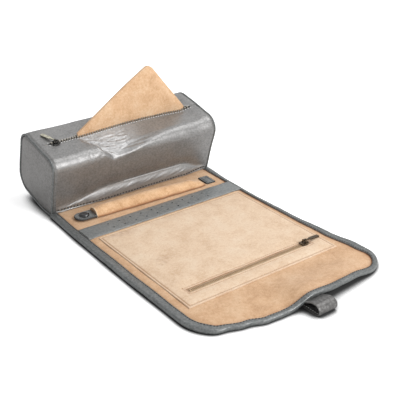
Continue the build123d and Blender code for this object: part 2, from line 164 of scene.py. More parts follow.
def sweep(name, stations, finish, closed=False, angle=38, paint=None, painted=0):
    # stations are rings of points, all alike, joined into a closed body
    # the first painted rows take the finish given as paint
    sides = len(stations[0])
    points = [point for ring in stations for point in ring]
    faces = gridFaces(len(stations), sides, closeRows=closed, closeCols=True)
    if not closed:
        faces.append(tuple(range(sides)))
        faces.append(tuple(reversed(range(len(points) - sides, len(points)))))
    obj = makeMesh(name, points, faces, finish)
    if paint:
        obj.data.materials.append(paint)
        for face in obj.data.polygons[:painted * sides]:
            face.material_index = 1
    fixNormals(obj)
    softShade(obj, angle)
    return obj


def applied(obj):
    # the object with its modifiers made real
    mesh = bpy.data.meshes.new_from_object(obj.evaluated_get(bpy.context.evaluated_depsgraph_get()))
    obj.modifiers.clear()
    obj.data = mesh
    return obj


def thicken(obj, wall, angle=38, offset=-1):
    solid = obj.modifiers.new("wall", "SOLIDIFY")
    solid.thickness = wall * mm
    solid.offset = offset
    applied(obj)
    softShade(obj, angle)
    return obj


def joined(name, parts):
    points, faces, spots = [], [], []
    mesh = bpy.data.meshes.new(name)
    finishes = []
    for part in parts:
        base = len(points)
        for finish in part.data.materials:
            if finish not in finishes:
                finishes.append(finish)
        points += [v.co[:] for v in part.data.vertices]
        for face in part.data.polygons:
            faces.append([base + i for i in face.vertices])
            spots.append(finishes.index(part.data.materials[face.material_index]))
    mesh.from_pydata(points, [], faces)
    for finish in finishes:
        mesh.materials.append(finish)
    mesh.polygons.foreach_set("material_index", spots)
    mesh.update()
    for part in parts:
        bpy.data.objects.remove(part)
    obj = addObject(name, mesh)
    softShade(obj)
    return obj


# Finishes

def newFinish(name, **sockets):
    finish = bpy.data.materials.new(name)
    finish.use_nodes = True
    shader = finish.node_tree.nodes["Principled BSDF"]
    for socket, value in sockets.items():
        shader.inputs[socket.replace("_", " ")].default_value = value
    return finish, finish.node_tree, shader


def nodeIn(tree, kind, **values):
    node = tree.nodes.new(kind)
    for key, value in values.items():
        if key in node.inputs:
            node.inputs[key].default_value = value
        else:
            setattr(node, key, value)
    return node


def wire(tree, *links):
    # each link is a node, its output, the next node and its input
    for source, output, target, into in links:
        tree.links.new(source.outputs[output], target.inputs[into])


def placeOf(tree):
    return nodeIn(tree, "ShaderNodeTexCoord").outputs["Object"]


def noiseOf(tree, place, scale, detail=3.0, rough=0.5):
    node = nodeIn(tree, "ShaderNodeTexNoise", Scale=scale, Detail=detail, Roughness=rough)
    tree.links.new(place, node.inputs["Vector"])
    return node.outputs["Fac"]


def rampOf(tree, source, stops):
    ramp = nodeIn(tree, "ShaderNodeValToRGB")
    tree.links.new(source, ramp.inputs["Fac"])
    points = ramp.color_ramp.elements
    while len(points) < len(stops):
        points.new(0.5)
    for point, (at, colour) in zip(points, stops):
        point.position = at
        point.color = (*colour, 1)
    return ramp.outputs["Color"]


def mixOf(tree, factor, a, b, blend="MIX"):
    node = nodeIn(tree, "ShaderNodeMix", data_type="RGBA", blend_type=blend)
    for socket, value in ((0, factor), (6, a), (7, b)):
        if hasattr(value, "links") or hasattr(value, "is_linked"):
            tree.links.new(value, node.inputs[socket])
        elif isinstance(value, tuple):
            node.inputs[socket].default_value = (*value, 1)
        else:
            node.inputs[socket].default_value = value
    return node.outputs[2]


def rangeOf(tree, source, low, high, fromLow=0.0, fromHigh=1.0):
    node = nodeIn(tree, "ShaderNodeMapRange")
    tree.links.new(source, node.inputs["Value"])
    node.inputs["From Min"].default_value = fromLow
    node.inputs["From Max"].default_value = fromHigh
    node.inputs["To Min"].default_value = low
    node.inputs["To Max"].default_value = high
    return node.outputs["Result"]


def bumpOf(tree, height, distance, strength=1.0, under=None):
    node = nodeIn(tree, "ShaderNodeBump", Strength=strength, Distance=distance * mm)
    tree.links.new(height, node.inputs["Height"])
    if under:
        tree.links.new(under, node.inputs["Normal"])
    return node.outputs["Normal"]


leather = {
    "dark": (0.208, 0.205, 0.202),
    "light": (0.265, 0.261, 0.257),
    "worn": (0.40, 0.395, 0.385),
    # a pale grey mixed in over the facet and on the left brow: a painted highlight
    "paintedHighlightGrey": (0.56, 0.56, 0.565),
    "pebble": 1.1,      # size of the grain, mm
    "cloud": 26.0,      # size of the tone patches, mm
    "shine": (0.33, 0.44),
    "speck": 2.1,       # size of the small light and dark specks, mm
    "wave": 4.5,        # size of the soft waves under the grain, mm
}


def leatherFinish(name, tone=1.0, metal=0.5, coat=0.15, tint=(1.0, 1.0, 1.0)):
    finish, tree, shader = newFinish(name, Metallic=metal, Coat_Weight=coat, Coat_Roughness=0.28)
    place = placeOf(tree)
    clouds = noiseOf(tree, place, 1 / (leather["cloud"] * mm), 4.0, 0.6)
    dark = tuple(c * tone * t for c, t in zip(leather["dark"], tint))
    light = tuple(c * tone * t for c, t in zip(leather["light"], tint))
    base = rampOf(tree, clouds, ((0.3, dark), (0.72, light)))
    fine = noiseOf(tree, place, 1 / (leather["speck"] * mm), 3.0, 0.7)
    base = mixOf(tree, rangeOf(tree, fine, 0.0, 0.3, 0.48, 0.7), base, leather["worn"])
    base = mixOf(tree, rangeOf(tree, fine, 0.42, 0.0, 0.32, 0.5), base, tuple(c * 0.5 for c in dark))
    # painted highlight: the paintedHighlight attribute mixes in the pale grey
    paintedHighlight = nodeIn(tree, "ShaderNodeAttribute", attribute_name="paintedHighlight").outputs["Fac"]
    base = mixOf(tree, paintedHighlight, base, leather["paintedHighlightGrey"])
    tree.links.new(base, shader.inputs["Base Color"])
    pebbles = 1 / (leather["pebble"] * mm)
    cells = nodeIn(tree, "ShaderNodeTexVoronoi", Scale=pebbles, feature="DISTANCE_TO_EDGE")
    tree.links.new(place, cells.inputs["Vector"])
    grain = rangeOf(tree, cells.outputs["Distance"], 0.0, 1.0, 0.0, 0.22)
    shine = noiseOf(tree, place, 1 / (9 * mm), 3.0)
    tree.links.new(rangeOf(tree, shine, *leather["shine"], 0.3, 0.7), shader.inputs["Roughness"])
    bump = bumpOf(tree, grain, 0.035, 0.5)
    bump = bumpOf(tree, noiseOf(tree, place, 1 / (leather["wave"] * mm), 3.0), 0.18, 0.5, bump)
    tree.links.new(bump, shader.inputs["Normal"])
    return finish


suede = {
    "low": (0.42, 0.235, 0.118),
    "mid": (0.585, 0.365, 0.21),
    "high": (0.69, 0.485, 0.315),
    "nap": 0.7,        # size of the nap's tufts, mm
    "patch": 17.0,     # size of the brushed patches, mm
    "tuft": 2.6,       # size of the larger tufts, mm
    # a dark brown for painted shade at edges, seams and contact lines, and for stains and rubbed patches
    "darkening": (0.25, 0.098, 0.042),
}


def suedeFinish(name, low, mid, high):
    finish, tree, shader = newFinish(name, Roughness=0.92, Sheen_Weight=0.25, Sheen_Roughness=0.45)
    shader.inputs["Specular IOR Level"].default_value = 0.2
    place = placeOf(tree)
    patch = noiseOf(tree, place, 1 / (suede["patch"] * mm), 5.0, 0.62)
    tone = rampOf(tree, patch, ((0.22, low), (0.5, mid), (0.78, high)))
    nap = noiseOf(tree, place, 1 / (suede["nap"] * mm), 3.0, 0.7)
    tone = mixOf(tree, rangeOf(tree, nap, 0.0, 0.6, 0.46, 0.66), tone, high)
    tone = mixOf(tree, rangeOf(tree, nap, 0.45, 0.0, 0.32, 0.5), tone, low)
    tufts = noiseOf(tree, place, 1 / (suede["tuft"] * mm), 4.0, 0.65)
    tone = mixOf(tree, rangeOf(tree, tufts, 0.0, 0.45, 0.5, 0.7), tone, high)
    tone = mixOf(tree, rangeOf(tree, tufts, 0.4, 0.0, 0.3, 0.48), tone, low)
    # painted shade, with stains and rubbed patches, from the shadeAndWearTone attribute
    edge = nodeIn(tree, "ShaderNodeAttribute", attribute_name="shadeAndWearTone").outputs["Fac"]
    tone = mixOf(tree, edge, tone, suede["darkening"])
    tree.links.new(tone, shader.inputs["Base Color"])
    bump = bumpOf(tree, nap, 0.22, 0.55)
    bump = bumpOf(tree, patch, 0.5, 0.35, bump)
    tree.links.new(bump, shader.inputs["Normal"])
    return finish


def plainFinish(name, dark, light, rough, metal=0.0, size=3.0, grain=0.02, coat=0.0):
    finish, tree, shader = newFinish(name, Metallic=metal, Coat_Weight=coat, Coat_Roughness=0.08)
    place = placeOf(tree)
    patch = noiseOf(tree, place, 1 / (size * mm), 4.0, 0.6)
    tree.links.new(rampOf(tree, patch, ((0.3, dark), (0.7, light))), shader.inputs["Base Color"])
    roughness = rangeOf(tree, patch, rough * 0.8, min(1.0, rough * 1.25), 0.3, 0.7)
    tree.links.new(roughness, shader.inputs["Roughness"])
    fine = noiseOf(tree, place, 1 / (size * 0.12 * mm), 2.0)
    tree.links.new(bumpOf(tree, fine, grain, 0.6), shader.inputs["Normal"])
    return finish


def clothFinish(name, colour, rib=0.55):
    # a woven tape: ribs across it and a soft tone change
    finish, tree, shader = newFinish(name, Roughness=0.85, Sheen_Weight=0.15)
    place = placeOf(tree)
    ribs = 1 / (rib * 6.3 * mm)
    wave = nodeIn(tree, "ShaderNodeTexWave", Scale=ribs, wave_type="BANDS", bands_direction="X")
    tree.links.new(place, wave.inputs["Vector"])
    dark = tuple(c * 0.62 for c in colour)
    tone = mixOf(tree, wave.outputs["Fac"], dark, colour)
    tone = mixOf(tree, rangeOf(tree, noiseOf(tree, place, 1 / (5 * mm)), 0.0, 0.4, 0.4, 0.7), tone, dark)
    tree.links.new(tone, shader.inputs["Base Color"])
    tree.links.new(bumpOf(tree, wave.outputs["Fac"], 0.12, 0.7), shader.inputs["Normal"])
    return finish


pewter = leatherFinish("pewter_leather")
pewterTrim = leatherFinish("pewter_trim", tone=0.66, metal=0.42, coat=0.1, tint=(0.93, 1.0, 1.01))
pewterStrip = leatherFinish("pewter_strip", tone=1.05, metal=0.4, coat=0.1, tint=(0.94, 1.0, 1.01))
# a lighter copy of the leather for the seam strip: a painted highlight
pewterPaintedHighlight = leatherFinish("pewter_painted_highlight", tone=1.4, metal=0.55, coat=0.2)
# a darker, warmer copy of the leather for the end panels: painted shade
pewterEndShade = leatherFinish("pewter_end_painted_shade", tone=0.84, tint=(1.02, 1.0, 0.98))
pewterStrap = leatherFinish("pewter_strap", tone=0.42, metal=0.3, coat=0.08, tint=(1.02, 1.0, 0.98))
tanSuede = suedeFinish("tan_suede", suede["low"], suede["mid"], suede["high"])
pouchSuede = suedeFinish("pouch_suede", (0.50, 0.28, 0.14), (0.665, 0.425, 0.25), (0.77, 0.575, 0.39))
rollSuede = suedeFinish("roll_suede", (0.48, 0.26, 0.12), (0.71, 0.44, 0.245), (0.83, 0.58, 0.36))
pocketSuede = suedeFinish("pocket_suede", (0.53, 0.345, 0.21), (0.69, 0.51, 0.355), (0.76, 0.62, 0.47))
creamEdge = plainFinish("cream_edge", (0.62, 0.47, 0.32), (0.78, 0.64, 0.47), 0.8)
boardFinish = plainFinish("board", (0.30, 0.25, 0.19), (0.40, 0.34, 0.27), 0.9)
# near black: real edge paint on the rims of the tab and the keeper, and painted shade at the bottoms of the
# earring holes
edgePaintAndHoleShade = plainFinish("edge_paint_and_hole_shade", (0.018, 0.017, 0.016), (0.05, 0.047, 0.045), 0.5)
tanTape = clothFinish("tan_tape", (0.62, 0.46, 0.29))
darkTape = clothFinish("dark_tape", (0.05, 0.048, 0.045))
darkTeeth = plainFinish("dark_teeth", (0.24, 0.22, 0.19), (0.46, 0.425, 0.37), 0.35, metal=0.35)
tanTeeth = plainFinish("tan_teeth", (0.37, 0.24, 0.14), (0.53, 0.38, 0.235), 0.45)
blackMetal = plainFinish("black_metal", (0.012, 0.012, 0.012), (0.05, 0.048, 0.045), 0.24, metal=0.85)
paleBrass = plainFinish("pale_brass", (0.25, 0.235, 0.175), (0.60, 0.57, 0.465), 0.22, metal=0.9)
bronze = plainFinish("antique_bronze", (0.045, 0.032, 0.022), (0.20, 0.145, 0.09), 0.3, metal=0.85)
lacquer = plainFinish("black_lacquer", (0.006, 0.006, 0.007), (0.016, 0.016, 0.018), 0.12, coat=1.0)
snapSteel = plainFinish("snap_steel", (0.42, 0.41, 0.39), (0.62, 0.61, 0.58), 0.25, metal=1.0)
greyThread = plainFinish("grey_thread", (0.60, 0.595, 0.59), (0.76, 0.755, 0.745), 0.6, size=1.0)
darkThread = plainFinish("dark_thread", (0.035, 0.033, 0.03), (0.08, 0.075, 0.07), 0.75, size=1.0)
tanThread = plainFinish("tan_thread", (0.42, 0.235, 0.125), (0.60, 0.37, 0.21), 0.75, size=1.0)
print("finishes are ready")


# Rows of small things along a path: stitches and zip teeth, by one Geometry Nodes tree

def startTree(name, inputs, output):
    # an empty Geometry Nodes tree and the identifiers of its named inputs
    tree = bpy.data.node_groups.new(name, "GeometryNodeTree")
    ways = {}
    for label, kind in inputs:
        socket = tree.interface.new_socket(label, in_out="INPUT", socket_type=f"NodeSocket{kind}")
        ways[label] = socket.identifier
    tree.interface.new_socket(output, in_out="OUTPUT", socket_type="NodeSocketGeometry")
    return tree, ways, tree.nodes.new("NodeGroupInput"), tree.nodes.new("NodeGroupOutput")


def useTree(obj, tree, ways, values):
    # the object with the tree run on it, its inputs set by their identifiers
    work = obj.modifiers.new("tree", "NODES")
    work.node_group = tree
    for label, value in values.items():
        work[ways[label]] = value
    return applied(obj)


def rowTree():
    inputs = (("Path", "Geometry"), ("Item", "Object"), ("Pitch", "Float"), ("Size", "Vector"),
              ("Up", "Vector"), ("Finish", "Material"))
    tree, ways, given, result = startTree("rowAlongPath", inputs, "Row")
    curve = tree.nodes.new("GeometryNodeMeshToCurve")
    spots = tree.nodes.new("GeometryNodeCurveToPoints")
    spots.mode = "LENGTH"
    item = tree.nodes.new("GeometryNodeObjectInfo")
    item.inputs["As Instance"].default_value = True
    along = tree.nodes.new("FunctionNodeAlignRotationToVector")
    along.axis = "X"
    level = tree.nodes.new("FunctionNodeAlignRotationToVector")
    level.axis = "Z"
    level.pivot_axis = "X"
    place = tree.nodes.new("GeometryNodeInstanceOnPoints")
    real = tree.nodes.new("GeometryNodeRealizeInstances")
    paint = tree.nodes.new("GeometryNodeSetMaterial")
    wire(tree, (given, "Path", curve, "Mesh"), (curve, "Curve", spots, "Curve"),
         (given, "Pitch", spots, "Length"), (given, "Item", item, "Object"),
         (spots, "Tangent", along, "Vector"), (along, "Rotation", level, "Rotation"),
         (given, "Up", level, "Vector"), (spots, "Points", place, "Points"),
         (item, "Geometry", place, "Instance"), (level, "Rotation", place, "Rotation"),
         (given, "Size", place, "Scale"), (place, "Instances", real, "Geometry"),
         (real, "Geometry", paint, "Geometry"), (given, "Finish", paint, "Material"),
         (paint, "Geometry", result, "Row"))
    return tree, ways


rowNodes, rowWays = rowTree()


def gem(name, sides=6, rings=4):
    # a rounded grain one unit long, wide and high
    points = [(-0.5, 0, 0)]
    for ring in range(1, rings):
        turn = pi * ring / rings
        for side in range(sides):
            around = 2 * pi * side / sides
            points.append((-cos(turn) / 2, sin(turn) * cos(around) / 2, sin(turn) * sin(around) / 2))
    points.append((0.5, 0, 0))
    faces = [(0, 1 + (s + 1) % sides, 1 + s) for s in range(sides)]
    for ring in range(rings - 2):
        for s in range(sides):
            a, b = 1 + ring * sides + s, 1 + ring * sides + (s + 1) % sides
            faces.append((a, b, b + sides, a + sides))
    last, tail = len(points) - 1, 1 + (rings - 2) * sides
    faces += [(last, tail + s, tail + (s + 1) % sides) for s in range(sides)]
    obj = makeMesh(name, points, faces, None)
    obj.data.polygons.foreach_set("use_smooth", [True] * len(faces))
    return obj


def toothBlock(name):
    # one zip tooth: a body on the tape and a narrower head towards the other side
    outline = ((-0.5, -0.5), (0.5, -0.5), (0.5, 0.15), (0.3, 0.3), (0.36, 0.5),
               (-0.36, 0.5), (-0.3, 0.3), (-0.5, 0.15))
    points = [(x, y, 0.5) for x, y in outline] + [(x, y, -0.5) for x, y in outline]
    count = len(outline)
    faces = [tuple(range(count)), tuple(reversed(range(count, 2 * count)))]
    for n in range(count):
        m = (n + 1) % count
        faces.append((m, n, n + count, m + count))
    return makeMesh(name, points, faces, None)


grain, tooth = gem("grainItem"), toothBlock("toothItem")


def rowOf(name, paths, finish, item=None, pitch=2.8, size=(1.9, 0.55, 0.5), up=(0, 0, 1)):
    points, edges = [], []
    for path in paths:
        base = len(points)
        points += path
        edges += [(base + n, base + n + 1) for n in range(len(path) - 1)]
    obj = makeMesh(name, points, [], None, edges)
    return useTree(obj, rowNodes, rowWays, {"Item": item or grain, "Pitch": pitch * mm, "Size": size,
                                            "Up": up, "Finish": finish})


# The case: the D section as a path of short runs, from the middle of the roof round by the front

section = {
    "corners": (((-43.8, 65.0), 12.0), ((-27.5, 0.0), 4.5), ((-6.0, 0.0), 50.0),
                ((45.0, 13.5), 18.0), ((27.9, 80.5), 14.0)),
    "roofMiddle": (-5.0, 73.39),
    "steps": (0.9, 1.2, 2.6),      # run of each facet on the roof, the front wall and the rest, mm
    "turns": (0.075, 0.14),        # turn of each facet round the front brow and the other corners
}


def sectionPath(inset=0.0, coarse=1.0):
    middle = Vector(section["roofMiddle"])
    corners = [(Vector(point), radius) for point, radius in section["corners"]]
    corners = [(middle, 0.0)] + corners + [(middle, 0.0)]
    stations, last = [], None
    for n in range(1, len(corners)):
        point, radius = corners[n]
        before = (point - corners[n - 1][0]).normalized()
        start = last or middle
        if n < len(corners) - 1:
            after = (corners[n + 1][0] - point).normalized()
            turn = before.angle(after)
            side = before.x * after.y - before.y * after.x
            back = radius * sin(turn / 2) / cos(turn / 2)
        else:
            back, turn = 0.0, 0.0
        end = point - before * back
        out = Vector((before.y, -before.x))
        if (end - start).length > 0.05:
            step = section["steps"][min(n - 1, 2)] * coarse
            for share in spread(0, 1, step / (end - start).length)[:-1]:
                stations.append((start.lerp(end, share), out.copy(), n - 1, share))
        if turn:
            inward = -out if side > 0 else out
            centre = end + inward * radius
            steps = max(2, ceil(turn / section["turns"][n > 1] / coarse))
            for k in range(steps):
                angle = turn * k / steps * (1 if side > 0 else -1)
                spoke = end - centre
                place = centre + Vector((spoke.x * cos(angle) - spoke.y * sin(angle),
                                         spoke.x * sin(angle) + spoke.y * cos(angle)))
                normal = (place - centre).normalized() * (1 if side > 0 else -1)
                stations.append((place, normal, -n, k / steps))
            last = point + after * back
    stations.append((middle.copy(), out.copy(), len(corners) - 2, 1.0))
    path, run = [], 0.0
    for n, (place, normal, part, share) in enumerate(stations):
        if n:
            run += (place - stations[n - 1][0]).length
        spot = place - normal * inset
        path.append({"y": caseMiddle + spot.x, "z": spot.y, "ny": normal.x, "nz": normal.y,
                     "run": run, "part": part, "share": share})
    return path


caseShape = {
    "half": 97.2,
    "fuller": {-1: 0.9, 1: 1.5},   # how far the leather goes on past that at each end
    "slot": (-88.0, 90.5),
    "corner": 1.8,
    "wall": 1.3,
    "front": ((-88, -5.4), (-58, -5.3), (12, -2.5), (54, -2.5), (80, -4.4), (90.5, -5.4)),
    "back": ((-88, -3.0), (-62, -2.8), (-48, 0.4), (12, 3.3), (54, 3.3), (80, 2.6), (90.5, -3.2)),
    "fine": (-62, 8, 0.85),        # where the columns are close together, and how close
    "columnStep": 1.4,
    "endSteps": (0, 0.5, 1.2, 2.2),      # columns near each end and near each end of the slot
    "slotSteps": (0, 0.08, 0.4, 1.0, 1.8),
    "full": (      # x where it starts and is whole, height in front and behind, run of its middle, width
        (-30, 95, 3.2, 3.9, 46, 22), (76, 97, 4.4, 4.4, 0, 34),
        (50, 96, 1.3, 1.3, 84, 22), (-55, -96, 0.0, 1.7, 76, 26),
    ),
}
slotLeft, slotRight = caseShape["slot"]
roofSlope = atan2(80.5 - 65.0, 27.9 + 43.8)


def lipAt(x, side):
    # where the slot's front (-1) or back (1) lip lies across the roof
    x = min(slotRight, max(slotLeft, x))
    front, back = through(caseShape["front"], x), through(caseShape["back"], x)
    near = min(x - slotLeft, slotRight - x)
    if near < caseShape["corner"]:
        lack = 1 - sqrt(max(0.0, 1 - (1 - near / caseShape["corner"]) ** 2))
        middle = (front + back) / 2
        front, back = front + (middle - front) * lack, back + (middle - back) * lack
    return front if side < 0 else back


creases = {
    "lip": (-8.0, 72.75),          # where the pulled-in facet starts, as Y from the middle and Z
    "foot": (-40.2, 50.5),         # and where it ends, on the front wall
    "left": ((0, -59), (12, -52), (28, -42), (48, -32)),     # its left side, as (run, x)
    "right": ((2, 54), (14, 44), (29, 26), (36, 9), (40, -8), (48.5, -25)),
    "fade": 0.72,                  # how much of the pull is lost towards the right
    "pull": 0.62,
    "pale": 0.42,                  # how far the facet turns to the pale grey of the painted highlight
    "brow": (-74, 20, 41, 8),      # a painted highlight on the left brow: x, its width, run, its width
    "folds": (                     # fold lines, as x, run, x, run, depth
        (-47, 13, -30, 47, 0.6), (-43, 26, -26, 41, 0.5), (-36, 36, -22, 44, 0.3),
        (-37, 30, -16, 33, 0.32), (-34, 24, -18, 27, 0.25), (-56, 6, -48, 16, 0.3),
        (-51, 9, -38, 14, 0.24), (-44, 5, -37, 14, 0.26), (-39, 6, -33, 16, 0.22),
        (-24, 13, -3, 16, 0.2), (-28, 19, -6, 22, 0.2), (-56, 20, -44, 34, 0.16),
    ),
    "wrinkle": 0.2,
    "puckers": 0.2,
    "puckerTop": 17.5,             # how high the gathers reach in the middle and at the ends
    "puckerEnds": 7,
    "flare": 3.2,
    "skirt": (7.5, 2.5),           # heights where the flare is whole and where it has ended
    "hollow": 1.5,
}


def caseFull(x, spot):
    # the case is fuller at its right end, at both brows, and a little at its back on the left
    away = min(spot["run"], roundAll - spot["run"])
    out = 0.0
    for start, whole, front, back, middle, wide in caseShape["full"]:
        high = front if spot["run"] < roundAll / 2 else back
        out += high * smooth(start, whole, x) * hill(away, middle, wide)
    return out


def facetShare(x, run):
    # how much of the facet is at this place, from 0 to 1
    if run > 54 or not -66 < x < 96:
        return 0.0
    left, right = through(creases["left"], run), through(creases["right"], run)
    soft = 12 + 42 * (1 - smooth(24, 46, run))
    share = smooth(left - 3, left + 4, x) * (1 - smooth(right - soft * 0.7, right + soft, x))
    return share * (1 - creases["fade"] * smooth(-16, 46, x)) * (1 - smooth(45, 54, run))


def facetPull(x, spot):
    # the pouch pulls the brow in, to a flat facet between the lip and its foot
    lipY, lipZ = creases["lip"]
    footY, footZ = creases["foot"]
    long = hypot(footY - lipY, footZ - lipZ)
    depth = (spot["y"] - caseMiddle - lipY) * (footZ - lipZ) + (spot["z"] - lipZ) * (lipY - footY)
    return creases["pull"] * facetShare(x, spot["run"]) * max(0.0, depth / long)


def facetHighlight(x, run):
    # a painted highlight: the leather is painted paler over the facet and on the left brow, where they
    # catch the light, and mottled there
    browX, wideX, browRun, wideRun = creases["brow"]
    share = facetShare(x, run) * (1 - smooth(-25, 40, x)) * (1 - 0.6 * smooth(34, 46, run))
    share += 0.45 * exp(-((x - browX) / wideX) ** 2 - ((run - browRun) / wideRun) ** 2)
    return min(1.0, max(0.0, creases["pale"] * share * (0.85 + 0.5 * ripple(x / 4, run / 9, 7.0))))


def foldLines(x, run):
    # each fold is a sharp valley with a soft ridge beside it
    out = 0.0
    for ax, ar, bx, br, deep in creases["folds"]:
        long = hypot(bx - ax, br - ar)
        along = ((x - ax) * (bx - ax) + (run - ar) * (br - ar)) / long
        aside = ((x - ax) * (br - ar) - (run - ar) * (bx - ax)) / long
        if -3 < along < long + 3 and abs(aside) < 6:
            fade = smooth(-3, 3, along) * (1 - smooth(long - 3, long + 3, along))
            aside += 0.8 * ripple(along / 5, ar, bx)
            out += deep * fade * (0.75 * hill(aside, -1.8, 1.2) - hill(aside, 0, 0.8))
    return out


def caseSwell(x, spot):
    # how far the leather stands out from the plain section here
    run, z = spot["run"], spot["z"]
    if spot["nz"] < -0.75:
        return 0.0
    inside = caseShape["half"] + caseShape["fuller"][-1 if x < 0 else 1] - abs(x)
    free = smooth(0, 14, inside)
    out = caseFull(x, spot) - 0.75 * (1 - smooth(0, 2.4, inside))
    out += (0.55 * ripple(x / 42, run / 30, 3.1) + 0.16 * ripple(x / 11, run / 13, 7.7)) * free
    if spot["y"] > caseMiddle - 4:
        return out
    out -= facetPull(x, spot)
    # the leather lies lower where the slider passes
    out -= 0.5 * smooth(40, 70, x) * hill(run, 6, 4)
    if run < 60 and -64 < x < 6:
        out += foldLines(x, run)
    fine = smooth(-84, -60, x) * (1 - smooth(-6, 16, x)) * smooth(5, 12, run) * (1 - smooth(38, 50, run))
    wrinkles = ripple(x / 6, run / 1.9 + x / 9, 1.5) + ripple(x / 3.2, run / 3.0 - x / 5, 4.5)
    out += creases["wrinkle"] * fine * wrinkles
    # soft hollows in the front wall and gathers over the seam
    out += 0.6 * sin((x + 20) / 33) * hill(z, 34, 17) * free
    length = smooth(-92, -30, x) * (1 - smooth(62, 93, x))
    top = creases["puckerEnds"] + (creases["puckerTop"] - creases["puckerEnds"]) * length
    gather = (1 - smooth(top - 9, top + 3, z)) * smooth(2.5, 7, z) * free
    lines = ripple((x - 3.4 * z) / 6.5, (z + 0.4 * x) / 9, 5.5)
    lines += 0.5 * ripple((x - 2.0 * z) / 3.8, z / 8, 9.2)
    out += creases["puckers"] * gather * lines
    out -= creases["hollow"] * length * hill(z - top, 4, 5.5)
    # below the hollow the leather comes out again, down to the seam strip
    full, none = creases["skirt"]
    skirt = min(1.0, max(0.0, (top + 2 - z) / (top + 2 - full)))
    return out + creases["flare"] * length * skirt * smooth(none, full, z)


roundAll = sectionPath()[-1]["run"]


def caseShell(name, inset, wall, finish, half, wide, nodes):
    # one layer of the wall; wide is how far its slot is cut back from the lips
    coarse = 2.2 if inset else 1.0
    path = sectionPath(inset, coarse)
    fineLeft, fineRight, fineStep = caseShape["fine"]
    step = caseShape["columnStep"] * coarse
    endSteps, slotSteps = caseShape["endSteps"], caseShape["slotSteps"]
    low, high = [half + (0 if inset else caseShape["fuller"][side]) for side in (-1, 1)]
    columns = [-low + s for s in endSteps] + spread(-low + 3, slotLeft - 1, 1.5)
    columns += [slotLeft + s for s in slotSteps]
    columns += spread(slotLeft + 2.8, fineLeft, step) + spread(fineLeft, fineRight, fineStep * coarse)[1:]
    columns += spread(fineRight, slotRight - 2.8, step)[1:]
    columns += [slotRight - s for s in reversed(slotSteps)]
    columns += spread(slotRight + 1.2, high - 2.8, 1.5) + [high - s for s in reversed(endSteps)]
    lastPart = path[-1]["part"]
    browFront = next(p for p in path if p["part"] == -1)
    browBack = next(p for p in path if p["part"] == lastPart)
    middle = (caseMiddle + section["roofMiddle"][0], section["roofMiddle"][1])
    frontV = hypot(browFront["y"] - middle[0], browFront["z"] - middle[1])
    backV = hypot(browBack["y"] - middle[0], browBack["z"] - middle[1])
    points, tones = [], []
    for x in columns:
        for spot in path:
            here = dict(spot)
            for part, side, far in ((0, -1, frontV), (lastPart, 1, backV)):
                if spot["part"] == part:
                    lip = lipAt(x, side) + side * wide * (slotLeft < x < slotRight)
                    share = spot["share"] if side < 0 else 1 - spot["share"]
                    v = lip + (side * far - lip) * share
                    here["y"] = middle[0] + v * cos(roofSlope)
                    here["z"] = middle[1] + v * sin(roofSlope)
                    here["run"] = -v if side < 0 else path[-1]["run"] - v
            swell = caseSwell(x, here)
            if inset:
                sunk = smooth(-78, -62, x) * (1 - smooth(70, 88, x)) * (1 - smooth(50, 64, here["run"]))
                swell = min(0.0, swell - 0.1) - 1.6 * sunk
            points.append((x, here["y"] + here["ny"] * swell, max(0.02, here["z"] + here["nz"] * swell)))
            tones.append(facetHighlight(x, here["run"]))
    rows, cols = len(columns), len(path)
    faces = gridFaces(rows, cols)
    obj = makeMesh(name, points, faces, finish)
    # the painted highlight over the facet and the brow
    attribute(obj, "paintedHighlight", tones)
    fixNormals(obj)
    outward = sum(face.normal.y * (face.center.y - caseMiddle * mm) for face in obj.data.polygons)
    if outward < 0:
        obj.data.flip_normals()
    thicken(obj, wall, 60)
    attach(obj, "case")
    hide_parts(*nodes)
    return obj


shell = caseShell("caseLeather", 0, caseShape["wall"], pewter, caseShape["half"], 0, ["case_leather"])
caseShell("caseBoard", 1.45, 1.25, boardFinish, 96.8, 6.4, ["case_board"])
caseShell("caseLining", 2.8, 0.9, tanSuede, 95.4, 6.4, ["case_lining"])
casePath = sectionPath()
print("the case's leather is wrapped")


# Each end of the case: a flat panel and the piped seam round it

ends = {
    "pipe": 1.25, "pipeSides": 10, "pipeMiddle": 98.25, "panelInset": 2.3, "face": 99.0, "dome": 0.7,
    "fullAt": 97,                  # the case's fullness at this x is that of its ends
    "centre": (caseMiddle + 0.5, 38.0),
    "rings": (0.0, 0.25, 0.6, 1.2, 2.2, 4.5, 8.0, 13.0, 20.0, 28.0),
}


def ringOf(path, side, inset):
    ring = []
    for spot in path[:-1]:
        inside = inset - caseFull(side * ends["fullAt"], spot)
        ring.append((spot["y"] - spot["ny"] * inside, max(0.05, spot["z"] - spot["nz"] * inside)))
    return ring


